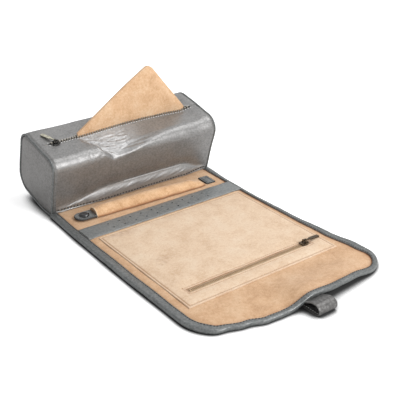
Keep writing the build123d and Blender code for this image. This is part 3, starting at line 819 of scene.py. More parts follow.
def caseEnd(side, word):
    path, centre, rings = casePath, ends["centre"], ends["rings"]
    fuller = caseShape["fuller"][side]
    stations = []
    for spot in path[:-1]:
        ring = []
        wobble = 0.12 * ripple(spot["y"] / 9, spot["z"] / 9, side * 4.0)
        for outward, along in circle(ends["pipe"], ends["pipeSides"]):
            out = outward - ends["pipe"] + caseFull(side * ends["fullAt"], spot)
            x = side * (ends["pipeMiddle"] + fuller + along + wobble)
            ring.append((x, spot["y"] + spot["ny"] * out, max(0.0, spot["z"] + spot["nz"] * out)))
        stations.append(ring)
    pipe = sweep(f"endPiping{word}", stations, pewterTrim, closed=True, angle=60)
    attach(pipe, "case")
    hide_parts(f"end_piping_{word.lower()}")
    points = []
    outline = ringOf(path, side, ends["panelInset"])
    for inset in rings:
        for y, z in outline:
            share = 1 - inset / 34.0
            y2, z2 = centre[0] + (y - centre[0]) * share, centre[1] + (z - centre[1]) * share
            rise = ends["dome"] * smooth(0, 20, inset) - 1.3 * (1 - smooth(0, 1.6, inset))
            rise += 0.22 * ripple(y2 / 21, z2 / 17, side * 9.0)
            points.append((side * (ends["face"] + fuller + rise), y2, z2))
    hub = len(points)
    points.append((side * (ends["face"] + fuller + ends["dome"]), *centre))
    count = len(outline)
    faces = gridFaces(len(rings), count, closeCols=True)
    inner = (len(rings) - 1) * count
    faces += [(inner + n, hub, inner + (n + 1) % count) for n in range(count)]
    # the end panels take the darker copy of the leather: painted shade
    panel = makeMesh(f"endPanel{word}", points, faces, pewterEndShade)
    fixNormals(panel, (side, 0, 0))
    thicken(panel, 1.2, 60)
    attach(panel, "case")
    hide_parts(f"end_panel_{word.lower()}")


caseEnd(-1, "Left")
caseEnd(1, "Right")
print("the case's ends are on")


# The turned strip over the seam: a rolled lower edge, a stitched groove and a gathered band

strip = {
    "half": 95.6, "low": 3.9, "highEnds": 7.4, "highMiddle": 15.5,
    "roll": 2.1, "rollOut": 1.9, "band": 1.2, "lumps": 0.26, "stitchUp": 3.6,
    "lowerRows": (0, 0.08, 0.3, 0.65, 1.05, 1.45, 1.8, 2.02, 2.1, 2.3, 2.55, 2.9, 3.3, 3.75, 4.2, 4.6, 5.0),
    "pitch": 3.6, "stitch": (2.2, 1.5, 1.7),
}
frontSlope = (16.3, -65.0)      # down the front wall, in Y and Z
frontLean = Vector(frontSlope).normalized()


def frontWall(z, out):
    # a point on the plain front wall at height z, standing out by out
    y = caseMiddle + section["corners"][1][0][0] - z * frontSlope[0] / -frontSlope[1]
    return y + frontLean.y * out, z - frontLean.x * out


def stripHigh(x):
    middle = smooth(-95, -35, x) * (1 - smooth(58, 96, x))
    return strip["highEnds"] + (strip["highMiddle"] - strip["highEnds"]) * middle


def stripOut(x, up, high):
    # how far the strip stands out at up over its lower edge: a roll, a stitched band, then gathers
    if up <= strip["roll"]:
        half = strip["roll"] / 2
        out = 0.8 + (strip["rollOut"] - 0.8) * sqrt(max(0.0, 1 - ((up - half) / half) ** 2))
    else:
        seam, share = strip["stitchUp"], up / high
        out = strip["band"] * (1 - smooth(0.5, 1.0, share))
        out -= 0.4 * hill(up - strip["roll"], 0.3, 0.3) + 0.35 * hill(up, seam, 0.7)
        gather = ripple(x / 6.5 - up / 1.7, up / 9, 2.2) + 0.7 * ripple(x / 3.6 - up / 1.0, up / 6, 8.1)
        out += strip["lumps"] * gather * smooth(seam + 0.4, seam + 2.6, up) * (1 - smooth(0.65, 1.0, share))
    return max(0.25, out) * (0.45 + 0.55 * smooth(0, 7, strip["half"] - abs(x)))


def stripPoint(x, up, high, lift=0.0):
    z = strip["low"] + up
    wall = caseSwell(x, {"run": 46.5 + (53 - z) / 0.97, "z": z, "nz": -0.24, "y": caseMiddle - 30})
    y, z = frontWall(z, stripOut(x, up, high) + wall + lift)
    return (x, y, max(3.5, z))


def seamStrip():
    columns = spread(-strip["half"], strip["half"], 0.8)
    lower, rows = strip["lowerRows"], 12
    points = []
    for x in columns:
        high = stripHigh(x)
        points += [stripPoint(x, up, high) for up in lower]
        points += [stripPoint(x, up, high) for up in spread(lower[-1], high, (high - lower[-1]) / rows)[1:]]
        for share in (1.0, 0.5, 0.0):
            points.append((x, *frontWall(strip["low"] + high * share, -0.9)))
    cols = len(points) // len(columns)
    faces = gridFaces(len(columns), cols, closeCols=True)
    faces += [tuple(range(cols)), tuple(reversed(range(len(points) - cols, len(points))))]
    # the strip takes the lighter copy of the leather: a painted highlight
    obj = makeMesh("seamStrip", points, faces, pewterPaintedHighlight)
    fixNormals(obj)
    softShade(obj, 70)
    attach(obj, "case")
    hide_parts("seam_strip")
    reach = strip["half"] - 2.5
    path = [stripPoint(x, strip["stitchUp"], stripHigh(x), 0.3) for x in spread(-reach, reach, 1.5)]
    row = rowOf("seamStitches", [path], darkThread, None, strip["pitch"], strip["stitch"], (0, -1, 0))
    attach(row, "case")


seamStrip()


# The case's zip: a tape under each lip and the teeth along its free edge

caseZip = {
    "tapeOver": 1.3, "tapeUnder": 4.6, "drop": 1.5, "toothUp": 0.75, "toothOff": 1.1,
    "pitch": 3.0, "tooth": (1.4, 1.8, 1.5), "stitchOff": 1.1,
    "stitchPitch": 3.2, "stitch": (2.0, 0.9, 0.8),
}
roofNormal = Vector((0, -sin(roofSlope), cos(roofSlope)))


def roofPoint(x, v, lift):
    y = caseMiddle + section["roofMiddle"][0] + v * cos(roofSlope) + roofNormal.y * lift
    return (x, y, section["roofMiddle"][1] + v * sin(roofSlope) + roofNormal.z * lift)


def roofSwell(x, v):
    y, z = roofPoint(x, v, 0)[1:]
    return caseSwell(x, {"run": abs(v), "y": y, "z": z, "nz": 1.0})


def caseZipSide(side, word):
    columns = spread(slotLeft - 3, slotRight + 3, 1.6)
    points = []
    for x in columns:
        lip = lipAt(min(slotRight - 1.9, max(slotLeft + 1.9, x)), side)
        for away in (-caseZip["tapeOver"], 0.5, 2.5, caseZip["tapeUnder"]):
            v = lip + side * away
            points.append(roofPoint(x, v, roofSwell(x, lip + side * max(0, away)) - caseZip["drop"]))
    tape = makeMesh(f"caseZipTape{word}", points, gridFaces(len(columns), 4), darkTape)
    fixNormals(tape, (0, 0, 1))
    thicken(tape, 0.5)
    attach(tape, "case")
    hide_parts(f"case_zip_tape_{word.lower()}")
    path = []
    for x in spread(slotLeft + 4, slotRight - 3.6, 1.75):
        middle = (lipAt(x, -1) + lipAt(x, 1)) / 2
        off = max(0.5, abs(lipAt(x, side) - middle) - caseZip["toothOff"])
        path.append(roofPoint(x, middle + side * off, caseZip["toothUp"] + roofSwell(x, lipAt(x, side))))
    if side > 0:
        path.reverse()
    up = tuple(roofNormal)
    row = rowOf(f"caseZipTeeth{word}", [path], darkTeeth, tooth, caseZip["pitch"], caseZip["tooth"], up)
    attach(row, "case")
    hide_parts(f"case_zip_teeth_{word.lower()}")
    path = []
    for x in spread(slotLeft + 1, slotRight - 1, 1.5):
        v = lipAt(x, side) + side * caseZip["stitchOff"]
        path.append(roofPoint(x, v, 0.15 + roofSwell(x, v)))
    pitch, size = caseZip["stitchPitch"], caseZip["stitch"]
    row = rowOf(f"lipStitches{word}", [path], greyThread, None, pitch, size, up)
    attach(row, "case")


caseZipSide(-1, "Front")
caseZipSide(1, "Back")
print("the case's seam and zip are sewn")


# The pouch: two suede sheets that bulge apart and are sewn together along their edges

pouch = {
    "behindLip": 3.4,
    "left": (-53.0, 75.6),
    "peak": (40.3, 132.7),
    "right": (82.8, 77.4),
    "foot": 64.5,
    "peakRound": 5.0,
    "bulge": 1.3,
    "sheet": 1.1,
}


def pouchEdge(x):
    # the height of the pouch's upper edge at x
    leftX, leftZ = pouch["left"]
    peakX, peakZ = pouch["peak"]
    rightX, rightZ = pouch["right"]
    rising = leftZ + (peakZ - leftZ) * (x - leftX) / (peakX - leftX)
    falling = rightZ + (peakZ - rightZ) * (rightX - x) / (rightX - peakX)
    rising += 0.7 * sin(pi * min(1, max(0, (x - leftX) / (peakX - leftX))))
    falling += 0.2 * sin(pi * min(1, max(0, (rightX - x) / (rightX - peakX))))
    lower, soft = min(rising, falling), pouch["peakRound"]
    apart = abs(rising - falling)
    if apart < soft * 2:
        lower -= (soft * 2 - apart) ** 2 / (soft * 8)
    return lower


def pouchSheet(side, word):
    left, right = pouch["left"][0], pouch["right"][0]
    columns = spread(left, right, 1.7)
    shares = [0, 0.02, 0.05, 0.1] + spread(0.16, 0.88, 0.06) + [0.92, 0.955, 0.98, 1.0]
    points = []
    for x in columns:
        top = pouchEdge(x)
        middle = roofPoint(x, lipAt(x, -1) + pouch["behindLip"], 0)[1]
        for share in shares:
            z = pouch["foot"] + (top - pouch["foot"]) * share
            edge = min(top - z, (x - left) * 0.8, (right - x) * 0.8)
            swell = pouch["bulge"] * smooth(-0.5, 11, edge) * smooth(68, 84, z)
            swell += 0.55 * ripple(x / 17, z / 15, 4.0 * side) * smooth(0, 8, edge)
            lean = 0.9 * sin((x + 20) / 36) * smooth(76, 120, z)
            points.append((x, middle + side * (swell + 0.12) + lean, z))
    obj = makeMesh(f"pouch{word}", points, gridFaces(len(columns), len(shares)), pouchSuede)
    fixNormals(obj, (0, side, 0))
    thicken(obj, pouch["sheet"], 50, offset=1)
    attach(obj, "pouch")
    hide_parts(f"pouch_{word.lower()}")
    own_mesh(obj)


pouchSheet(-1, "Front")
pouchSheet(1, "Back")
print("the pouch stands in the slot")


# The flap: its outline, how it lies, and its four folding lengths

flap = {
    "folds": (30.5, 99.6, 181.6, 253.0),
    "cuts": (29.6, 65.0, 140.0, 217.0),
    "front": ((-92, 298.0), (-78, 294.6), (-62, 297.8), (-44, 303.8), (-28, 304.8),
              (-3, 305.6), (26, 306.2), (47, 304.8), (67, 303.0), (95, 301.5)),
    "corner": {-1: 38.0, 1: 29.0},
    "left": ((30, 102.6), (100, 104.4), (180, 105.2), (253, 104.4)),
    "right": ((30, 101.8), (76, 98.2), (115, 97.2), (175, 98.8), (226, 103.4), (256, 107.4)),
    "bindLeft": ((30, 8.2), (180, 9.4), (253, 9.0)),
    "bindRight": ((30, 7.4), (76, 4.8), (115, 4.4), (175, 5.4), (226, 8.4), (253, 9.0)),
    "bindFront": 5.2,
    "leather": (0.45, 2.3),
    "lining": (2.2, 3.4),
    "arch": 5.2,                   # how high the front edge is raised, and between which reaches
    "archReach": (254, 300),
    "peak": 0.38,                  # a higher place in it, at this x
    "peakAt": 9,
    "foldReach": 1.6,
    "widerFold": 3.0,              # the same for the third fold, which bends the pocket too
    "cornerReach": 275,            # past this reach the sides run straight into the corners
    "edgeShares": (0.86, 0.885, 0.897, 0.907, 0.917, 0.928, 0.939, 0.95, 0.965, 0.985, 1),
    "frontShares": (0.79, 0.81, 0.828, 0.845, 0.86, 0.875, 0.89, 0.91, 0.95, 1),
}


def forward(reach):
    return caseMiddle - reach


def sideAt(side, reach):
    return side * through(flap["left" if side < 0 else "right"], reach)


def bindAt(side, reach):
    return through(flap["bindLeft" if side < 0 else "bindRight"], reach)


def frontLine(x):
    return through(flap["front"], x)


def frontHalf(side):
    # how far out the flap's sides are at the front corners
    return abs(sideAt(side, flap["cornerReach"]))


def bindWide(x, reach):
    # the binding is narrower along the front edge
    wide = bindAt(-1 if x < 0 else 1, reach)
    return wide + (flap["bindFront"] - wide) * smooth(262, 290, reach) * smooth(-97, -74, x)


def insideBinding(x, y):
    # how far a place lies inside the binding's inner edge
    reach, side = caseMiddle - y, -1 if x < 0 else 1
    bend, line = flap["corner"][side], frontLine(x)
    over, past = abs(x) - (frontHalf(side) - bend), reach - (line - bend)
    if over > 0 and past > 0:
        return bend - hypot(over, past) - bindWide(x, reach)
    return min(abs(sideAt(side, reach)) - abs(x), line - reach) - bindWide(x, reach)


def flapLift(x, y):
    # how far the flap is raised off the surface that it lies on
    reach = caseMiddle - y
    hump = smooth(-24, 4, x) * (1 - smooth(52, 97, x))
    hump += flap["peak"] * smooth(-22, 4, x) * hill(x, flap["peakAt"], 22)
    rise = flap["arch"] * hump * smooth(*flap["archReach"], reach)
    rise += 1.1 * smooth(92, 104, x) * smooth(236, 262, reach) * (1 - smooth(276, 296, reach))
    rise += 0.5 * smooth(60, 100, -x) * sin(reach / 19.0) ** 2
    return rise


def nap(x, y):
    return 0.22 * ripple(x / 15, y / 15, 2.0) + 0.1 * ripple(x / 5, y / 5, 6.0)


def flapPlan(start, end, inset, fold):
    # rows of points between two reaches, close together on the fold line
    zone = flap["foldReach"] if fold != flap["folds"][2] else flap["widerFold"]
    reaches = spread(start, fold - zone, 3.4) + spread(fold - zone, fold + zone, 0.65)[1:]
    last = end if end < 290 else None
    if last:
        reaches += spread(fold + zone, last, 3.4)[1:]
    edge = flap["edgeShares"]
    shares = [-s for s in reversed(edge)] + spread(-0.82, 0.82, 0.035) + list(edge)
    rows = []
    for reach in reaches:
        left, right = sideAt(-1, reach) + inset, sideAt(1, reach) - inset
        rows.append([(left + (right - left) * (s + 1) / 2, forward(reach)) for s in shares])
    if not last:
        begin = fold + zone
        left, right = inset - frontHalf(-1), frontHalf(1) - inset
        for step in spread(0, 0.77, 0.07)[1:] + list(flap["frontShares"]):
            row = []
            for s in shares:
                x = left + (right - left) * (s + 1) / 2
                side = -1 if x < 0 else 1
                drop = flap["corner"][side] - inset
                over = abs(x) - (frontHalf(side) - flap["corner"][side])
                line = frontLine(x) - inset
                if over > 0:
                    line += sqrt(max(0.0, drop ** 2 - over ** 2)) - drop
                row.append((x, forward(begin + (line - begin) * step)))
            rows.append(row)
    return rows


def leatherTop(x, y):
    return flap["leather"][1] + flapLift(x, y)


def leatherLow(x, y):
    return flap["leather"][0] + 0.25 * abs(ripple(x / 24, y / 24, 1.0)) + flapLift(x, y)


def liningLow(x, y):
    return flap["lining"][0] + flapLift(x, y)


def liningTop(x, y):
    puff = 0.55 * smooth(-1, 9, insideBinding(x, y)) - 0.35
    return flap["lining"][1] + puff + nap(x, y) + flapLift(x, y)


for number, fold in enumerate(flap["folds"]):
    start = flap["cuts"][number]
    end = flap["cuts"][number + 1] if number < 3 else frontLine(-40)
    n = number + 1
    under = slab(f"flapLeather{n}", flapPlan(start + 0.8 * (number == 0), end, 2.0, fold),
                 leatherTop, leatherLow, pewter)
    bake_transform(under)
    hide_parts(f"flap_leather_{n}", f"flap_felt_{n}")
    over = slab(f"flapLining{n}", flapPlan(start, end, 1.6, fold), liningTop, liningLow, tanSuede)
    # painted shade on the lining along the binding's inner edge, darkest where the two meet
    tones = []
    for vertex in over.data.vertices:
        gap = insideBinding(vertex.co.x / mm, vertex.co.y / mm)
        tones.append(0.8 * (1 - smooth(0.3, 1.5, gap)) + 0.16 * (1 - smooth(1, 6, gap)))
    attribute(over, "shadeAndWearTone", tones)
    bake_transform(over)
    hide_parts(f"flap_lining_{n}")
print("the flap lies in front of the case")


# The bound edge: a soft band folded over the flap's edge, with its row of stitches

bindingProfile = (
    (8.6, 3.3), (8.55, 4.1), (8.1, 4.4), (7.3, 4.15), (6.5, 4.38), (4.6, 4.5), (2.6, 4.45), (1.1, 4.25),
    (0.3, 3.75), (0.0, 2.9), (0.15, 1.2), (0.9, 0.3), (2.4, 0.02), (7.4, 0.0), (8.5, 0.1), (8.5, 0.6),
)
profileWide = 8.6      # the profile is stretched from this width to the binding's own
bindingStitch = {"inset": 7.4, "height": 4.4, "pitch": 2.8, "size": (1.9, 0.8, 0.7)}
bindingFold = {"clear": 3.4, "half": 3, "step": 0.7, "turn": 4}


def outlineStations():
    # the flap's outline from the left of the case round to the right: point, inward, width
    start, step = flap["cuts"][0], 2.2
    leftEnd, rightEnd = [frontLine(side * 90) - flap["corner"][side] - 1 for side in (-1, 1)]
    points = [(sideAt(-1, r), r) for r in spread(start, leftEnd, step)]
    for side in (-1, 1):
        half, bend = frontHalf(side), flap["corner"][side]
        arc = []
        for t in spread(0, pi / 2, 0.07):
            x = side * (half - bend * (1 - cos(t)))
            arc.append((x, frontLine(x) - bend * (1 - sin(t))))
        if side < 0:
            points += arc
            straightEnd = frontHalf(1) - flap["corner"][1]
            points += [(x, frontLine(x)) for x in spread(arc[-1][0], straightEnd, 2.4)[1:-1]]
        else:
            points += arc[::-1]
    points += [(sideAt(1, r), r) for r in spread(rightEnd, start, step)]
    stations = []
    for n, (x, reach) in enumerate(points):
        ax, ar = points[max(0, n - 1)]
        bx, br = points[min(len(points) - 1, n + 1)]
        along = Vector((bx - ax, -(br - ar)))
        if along.length < 1e-6:
            continue
        along.normalize()
        stations.append({"x": x, "reach": reach, "in": (-along.y, along.x), "wide": bindWide(x, reach)})
    return stations


def edgeStation(side, reach):
    return {"x": sideAt(side, reach), "reach": reach, "in": (-side, 0), "wide": bindAt(side, reach)}


def bindingSpot(station, inset):
    d = inset * station["wide"] / profileWide
    return station["x"] + station["in"][0] * d, forward(station["reach"]) + station["in"][1] * d


def bindingRing(station):
    ring = []
    for inset, height in bindingProfile:
        x, y = bindingSpot(station, inset)
        wave = 0.16 * ripple(x / 6, y / 6, 3.3) + 0.12 * ripple(x / 2.4, y / 2.4, 5.1) if height > 1 else 0
        ring.append((x, y, max(0.0, height + wave + flapLift(x, y))))
    return ring


def stitchPoint(station):
    x, y = bindingSpot(station, bindingStitch["inset"])
    return (x, y, bindingStitch["height"] + flapLift(x, y))


outline = outlineStations()
for number in range(4):
    n = number + 1
    low = flap["cuts"][number]
    high = flap["cuts"][number + 1] if number < 3 else 400
    fold = flap["folds"][number]
    parts, seams = [], []
    runs = [outline]
    if number < 3:
        runs = [[s for s in outline if s["x"] < 0], [s for s in outline if s["x"] >= 0]]
    for count, run in enumerate(runs):
        # the stations near the fold are replaced by closer ones
        chosen = [s for s in run if low + 0.4 < s["reach"] < high - 0.4]
        chosen = [s for s in chosen if abs(s["reach"] - fold) > bindingFold["clear"]]
        near = spread(fold - bindingFold["half"], fold + bindingFold["half"], bindingFold["step"])
        near = [low] + [r for r in near if r > low]
        if number < 3:
            side = -1 if run[0]["x"] < 0 else 1
            chosen += [edgeStation(side, r) for r in [high] + near]
            chosen.sort(key=lambda s: s["reach"])
        else:
            straight = [s for s in chosen if s["reach"] < fold + bindingFold["turn"]]
            up = [s for s in straight if s["x"] < 0] + [edgeStation(-1, r) for r in near]
            up.sort(key=lambda s: s["reach"])
            down = [s for s in straight if s["x"] > 0] + [edgeStation(1, r) for r in near]
            down.sort(key=lambda s: -s["reach"])
            chosen = up + [s for s in chosen if s["reach"] >= fold + bindingFold["turn"]] + down
        parts.append(sweep(f"binding{n}{count}", [bindingRing(s) for s in chosen], pewterTrim, angle=50))
        seams.append([stitchPoint(s) for s in chosen])
    obj = joined(f"flapBinding{n}", parts)
    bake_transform(obj)
    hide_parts(f"flap_binding_{n}")
    pitch, size = bindingStitch["pitch"], bindingStitch["size"]
    row = rowOf(f"bindingStitches{n}", seams, darkThread, None, pitch, size)
    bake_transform(row)
print("the flap's edge is bound")


# The earring strip, with its two rows of holes punched by a Geometry Nodes tree

earring = {
    "back": 75.0, "front": 98.2, "half": 95.2, "top": 4.55, "low": 3.3,
    "holeRadius": 1.0, "holeSides": 14, "punch": 3.0, "floor": 4.1,
    "pitch": 13.1, "middle": -6.0, "rowOff": 4.6, "shift": 1.4, "count": 10,
}


def punchTree():
    inputs = (("Strip", "Geometry"), ("Spots", "Object"), ("Radius", "Float"), ("Floor", "Float"),
              ("Finish", "Material"), ("HoleShade", "Material"))
    tree, ways, given, result = startTree("punchHoles", inputs, "Punched")
    spots = tree.nodes.new("GeometryNodeObjectInfo")
    tool = tree.nodes.new("GeometryNodeMeshCylinder")
    tool.inputs["Vertices"].default_value = earring["holeSides"]
    tool.inputs["Depth"].default_value = earring["punch"] * mm
    place = tree.nodes.new("GeometryNodeInstanceOnPoints")
    real = tree.nodes.new("GeometryNodeRealizeInstances")
    cut = tree.nodes.new("GeometryNodeMeshBoolean")
    cut.operation = "DIFFERENCE"
    paint, dark = tree.nodes.new("GeometryNodeSetMaterial"), tree.nodes.new("GeometryNodeSetMaterial")
    # faces that look up from below the floor's height are the bottoms of the holes, painted near black as
    # painted shade
    spot, normal = tree.nodes.new("GeometryNodeInputPosition"), tree.nodes.new("GeometryNodeInputNormal")
    height, slope = tree.nodes.new("ShaderNodeSeparateXYZ"), tree.nodes.new("ShaderNodeSeparateXYZ")
    under = nodeIn(tree, "FunctionNodeCompare", operation="LESS_THAN")
    facing = nodeIn(tree, "FunctionNodeCompare")
    facing.inputs["B"].default_value = 0.5
    both = nodeIn(tree, "FunctionNodeBooleanMath", operation="AND")
    wire(tree, (spot, 0, height, 0), (normal, 0, slope, 0), (height, "Z", under, "A"),
         (given, "Floor", under, "B"), (slope, "Z", facing, "A"), (under, 0, both, 0),
         (facing, 0, both, 1), (both, 0, dark, "Selection"), (given, "HoleShade", dark, "Material"),
         (given, "Spots", spots, "Object"), (given, "Radius", tool, "Radius"),
         (spots, "Geometry", place, "Points"), (tool, "Mesh", place, "Instance"),
         (place, "Instances", real, "Geometry"), (given, "Strip", cut, "Mesh 1"),
         (real, "Geometry", cut, "Mesh 2"), (cut, "Mesh", paint, "Geometry"),
         (given, "Finish", paint, "Material"), (paint, "Geometry", dark, "Geometry"),
         (dark, "Geometry", result, "Punched"))
    return tree, ways


def earringStrip():
    middle = forward((earring["back"] + earring["front"]) / 2)
    half = (earring["front"] - earring["back"]) / 2
    edge = [1, 0.985, 0.955, 0.9, 0.8]
    across = edge + spread(0.66, -0.66, 0.16) + [-s for s in reversed(edge)]
    columns = spread(-earring["half"], earring["half"] - 0.6, 2.6)
    rows = [[(x, middle + half * s) for x in columns] for s in across]

    def top(x, y):
        edge = half - abs(y - middle)
        turned = 0.25 * smooth(0, 3, edge) - 0.3 * (1 - smooth(0, 0.7, edge))
        return earring["top"] + turned + 0.12 * ripple(x / 12, y / 9, 1.2)

    obj = slab("earringStrip", rows, top, lambda x, y: earring["low"], pewterStrip)
    spots = []
    for row, shift in ((earring["rowOff"], 0.0), (-earring["rowOff"], earring["shift"])):
        for n in range(earring["count"]):
            x = earring["middle"] + shift + (n - (earring["count"] - 1) / 2) * earring["pitch"]
            spots.append((x, middle + row, earring["floor"] - 0.3 + earring["punch"] / 2))
    marks = makeMesh("holeSpots", spots, [], None)
    useTree(obj, *punchTree(), {"Spots": marks, "Radius": earring["holeRadius"] * mm,
                                "Floor": earring["floor"] * mm, "Finish": pewterStrip, "HoleShade": edgePaintAndHoleShade})
    bpy.data.objects.remove(marks)
    softShade(obj, 40)
    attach(obj, "panel_1")
    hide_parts("earring_strip")


earringStrip()


# The pocket: a suede panel with turned edges, a slot for its zip and rows of stitches

pocket = {
    "back": 101.0, "front": 251.5, "left": -87.3, "right": 88.5, "top": 4.7, "low": 3.3,
    "slot": (-72.0, 71.0), "slotReach": 229.5, "slotHalf": 2.9, "edge": 2.6,
    "fold": (178.6, 184.6), "slotSeam": 2.4,
    "edgeSteps": (0, 0.3, 0.8, 1.6, 2.3, 2.9, 3.8, 5.2),
    "stains": (      # x, reach, size and strength of each darker spot
        (-62, 108, 9, 0.5), (-74, 106, 6, 0.4), (-60, 172, 7, 0.5), (-64, 180, 5, 0.35),
    ),
}


def cornersLine(corners, step):
    # evenly spaced points along straight runs between the corners
    line = [corners[0]]
    for (ax, ar), (bx, br) in zip(corners, corners[1:]):
        count = max(1, ceil(hypot(bx - ax, br - ar) / step))
        line += [(ax + (bx - ax) * n / count, ar + (br - ar) * n / count) for n in range(1, count + 1)]
    return line


def rectangle(left, right, back, front):
    return [(left, back), (left, front), (right, front), (right, back), (left, back)]


def pocketPanel():
    left, right = pocket["left"], pocket["right"]
    slotLow, slotHigh = pocket["slotReach"] - pocket["slotHalf"], pocket["slotReach"] + pocket["slotHalf"]
    steps, slot, fold = pocket["edgeSteps"], pocket["slot"], pocket["fold"]
    xs = [left + s for s in steps] + spread(left + 7, slot[0], 2.6)
    xs += spread(slot[0], slot[1], 2.6)[1:] + spread(slot[1], right - 7, 2.6)[1:]
    xs += [right - s for s in reversed(steps)]
    back, front = pocket["back"], pocket["front"]
    rs = [back + s for s in steps] + spread(back + 7, fold[0], 2.6) + spread(fold[0], fold[1], 0.6)[1:]
    rs += spread(fold[1], slotLow - 4, 2.6)[1:] + spread(slotLow - 4, slotLow, 0.6)[1:]
    rs += spread(slotLow, slotHigh, 2)[1:] + spread(slotHigh, slotHigh + 4, 0.6)[1:]
    rs += spread(slotHigh + 4, front - 7, 2.4)[1:]
    rs += [front - s for s in reversed(steps)]
    plan = [[(x, forward(r)) for x in xs] for r in rs]

    def slotAway(x, y):
        reach = caseMiddle - y
        dx = max(slot[0] - x, x - slot[1], 0)
        dy = max(slotLow - reach, reach - slotHigh, 0)
        return hypot(dx, dy)

    def edgeAway(x, y):
        reach = caseMiddle - y
        return min(x - left, right - x, reach - back, front - reach)

    def top(x, y):
        edge, gap = edgeAway(x, y), slotAway(x, y)
        z = pocket["top"] + 0.75 * smooth(3, 16, min(edge, gap + 2)) + 0.9 * nap(x, y)
        z -= 0.75 * (1 - smooth(0, 0.9, edge))
        z -= 0.5 * hill(edge, pocket["edge"], 0.7)
        z -= 0.35 * (1 - smooth(0, 0.7, gap)) + 0.35 * hill(gap, pocket["slotSeam"], 0.6)
        return z + 0.3 * ripple(x / 31, y / 24, 9.9) * smooth(4, 20, edge)

    def inSlot(x, y):
        return slot[0] < x < slot[1] and slotLow < caseMiddle - y < slotHigh

    obj = slab("pocketPanel", plan, top, lambda x, y: pocket["low"], pocketSuede, inSlot)
    # painted shade along the turned edges, strongest on the left side, in the stitch groove and round the
    # zip slot, plus the stains
    tones = []
    for vertex in obj.data.vertices:
        x, y = vertex.co.x / mm, vertex.co.y / mm
        edge, gap = edgeAway(x, y), slotAway(x, y)
        sideShade = 0.95 if edge == x - left else 0.45
        value = 0.75 * hill(edge, pocket["edge"], 0.55) + 0.7 * (1 - smooth(0, 0.7, edge))
        value *= sideShade
        value += 0.75 * (1 - smooth(0, 0.8, gap)) + 0.3 * hill(gap, pocket["slotSeam"], 0.5)
        for sx, sr, size, dark in pocket["stains"]:
            away = ((x - sx) / size) ** 2 + ((caseMiddle - y - sr) / (size * 0.6)) ** 2
            value += dark * exp(-away) * (0.5 + ripple(x / 3, y / 3, 1.0))
        tones.append(min(0.75, max(0.0, value)))
    attribute(obj, "shadeAndWearTone", tones)
    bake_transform(obj)
    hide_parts("pocket_panel_back", "pocket_panel_front")

    inset, over = pocket["edge"], pocket["slotSeam"]
    loops = (rectangle(left + inset, right - inset, back + inset, front - inset),
             rectangle(slot[0] - over, slot[1] + over, slotLow - over, slotHigh + over)[::-1])
    seams = []
    for corners in loops:
        seams.append([(x, forward(r), top(x, forward(r)) + 0.12) for x, r in cornersLine(corners, 2)])
    row = rowOf("pocketStitches", seams, tanThread, pitch=2.5, size=(1.7, 0.5, 0.45))
    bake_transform(row)


pocketPanel()


def pocketTeeth():
    y = forward(pocket["slotReach"])
    runs = []
    for side in (-1, 1):
        run = [(x, y + side * 0.55, 4.35) for x in spread(-69.5, 68.5, 2)]
        if side > 0:
            run.reverse()
        runs.append(rowOf(f"pocketTeeth{side}", [run], tanTeeth, tooth, 1.5, (0.95, 1.5, 0.9)))
    stops = [makeStop(x, y) for x in (-70.4, 69.6)]
    obj = joined("pocketZipTeeth", runs + stops)
    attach(obj, "panel_3")
    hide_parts("pocket_zip_teeth")


def makeStop(x, y):
    ring = [(0.75, 1.4), (-0.75, 1.4), (-0.75, -1.4), (0.75, -1.4)]
    levels = ((4.0, 1.0), (4.7, 1.0), (4.95, 0.8))
    stations = [[(x + a * s, y + b * s, z) for a, b in ring] for z, s in levels]
    return sweep("stop", stations, tanTeeth)


pocketTeeth()
print("the pocket and the earring strip are on the flap")


# The ring bar: a stuffed suede roll with a snap tab at its free end

bar = {
    "left": (-65.5, 55.2), "right": (69.5, 61.3), "low": 3.75, "width": 17.0, "height": 9.4,
    "swell": ((0.0, 0.93, 0.80), (0.07, 1.0, 0.97), (0.5, 1.0, 1.0),
              (0.86, 0.94, 0.86), (0.95, 0.88, 0.5), (1.0, 0.84, 0.2)),
    "sides": 28, "step": 1.5, "dent": 106,
    "welt": (8.1, 7.3, 0.45),      # half width and height of its arch, and its own radius
}
barStart = Vector((bar["left"][0], forward(bar["left"][1])))
barEnd = Vector((bar["right"][0], forward(bar["right"][1])))
barDir = (barEnd - barStart).normalized()
barAcross = Vector((-barDir.y, barDir.x))
barLength = (barEnd - barStart).length


def barPoint(along, across, z):
    spot = barStart + barDir * along + barAcross * across
    return (spot.x, spot.y, z)


def padRing(along, shrink=1.0):
    share = along / barLength
    width = bar["width"] * through([(s, w) for s, w, h in bar["swell"]], share) * shrink
    height = bar["height"] * through([(s, h) for s, w, h in bar["swell"]], share) * shrink
    ring = []
    for n in range(bar["sides"]):
        turn = 2 * pi * n / bar["sides"]
        across = width / 2 * cos(turn)
        if sin(turn) >= 0:
            z = bar["low"] + 0.7 + (height - 0.7) * sin(turn) ** 0.72
            z += 0.28 * ripple(along / 13, turn * 1.2, 4.4)
            z += 0.2 * ripple(along / 4.2, turn * 0.8, 1.4) * smooth(0.1, 0.5, sin(turn))
            z -= 0.5 * hill(along, bar["dent"], 5) * sin(turn)
            across += 0.35 * ripple(along / 9, turn, 8.4)
        else:
            z = bar["low"] + 0.7 + 0.7 * sin(turn) ** 3
        ring.append(barPoint(along, across, z))
    return ring


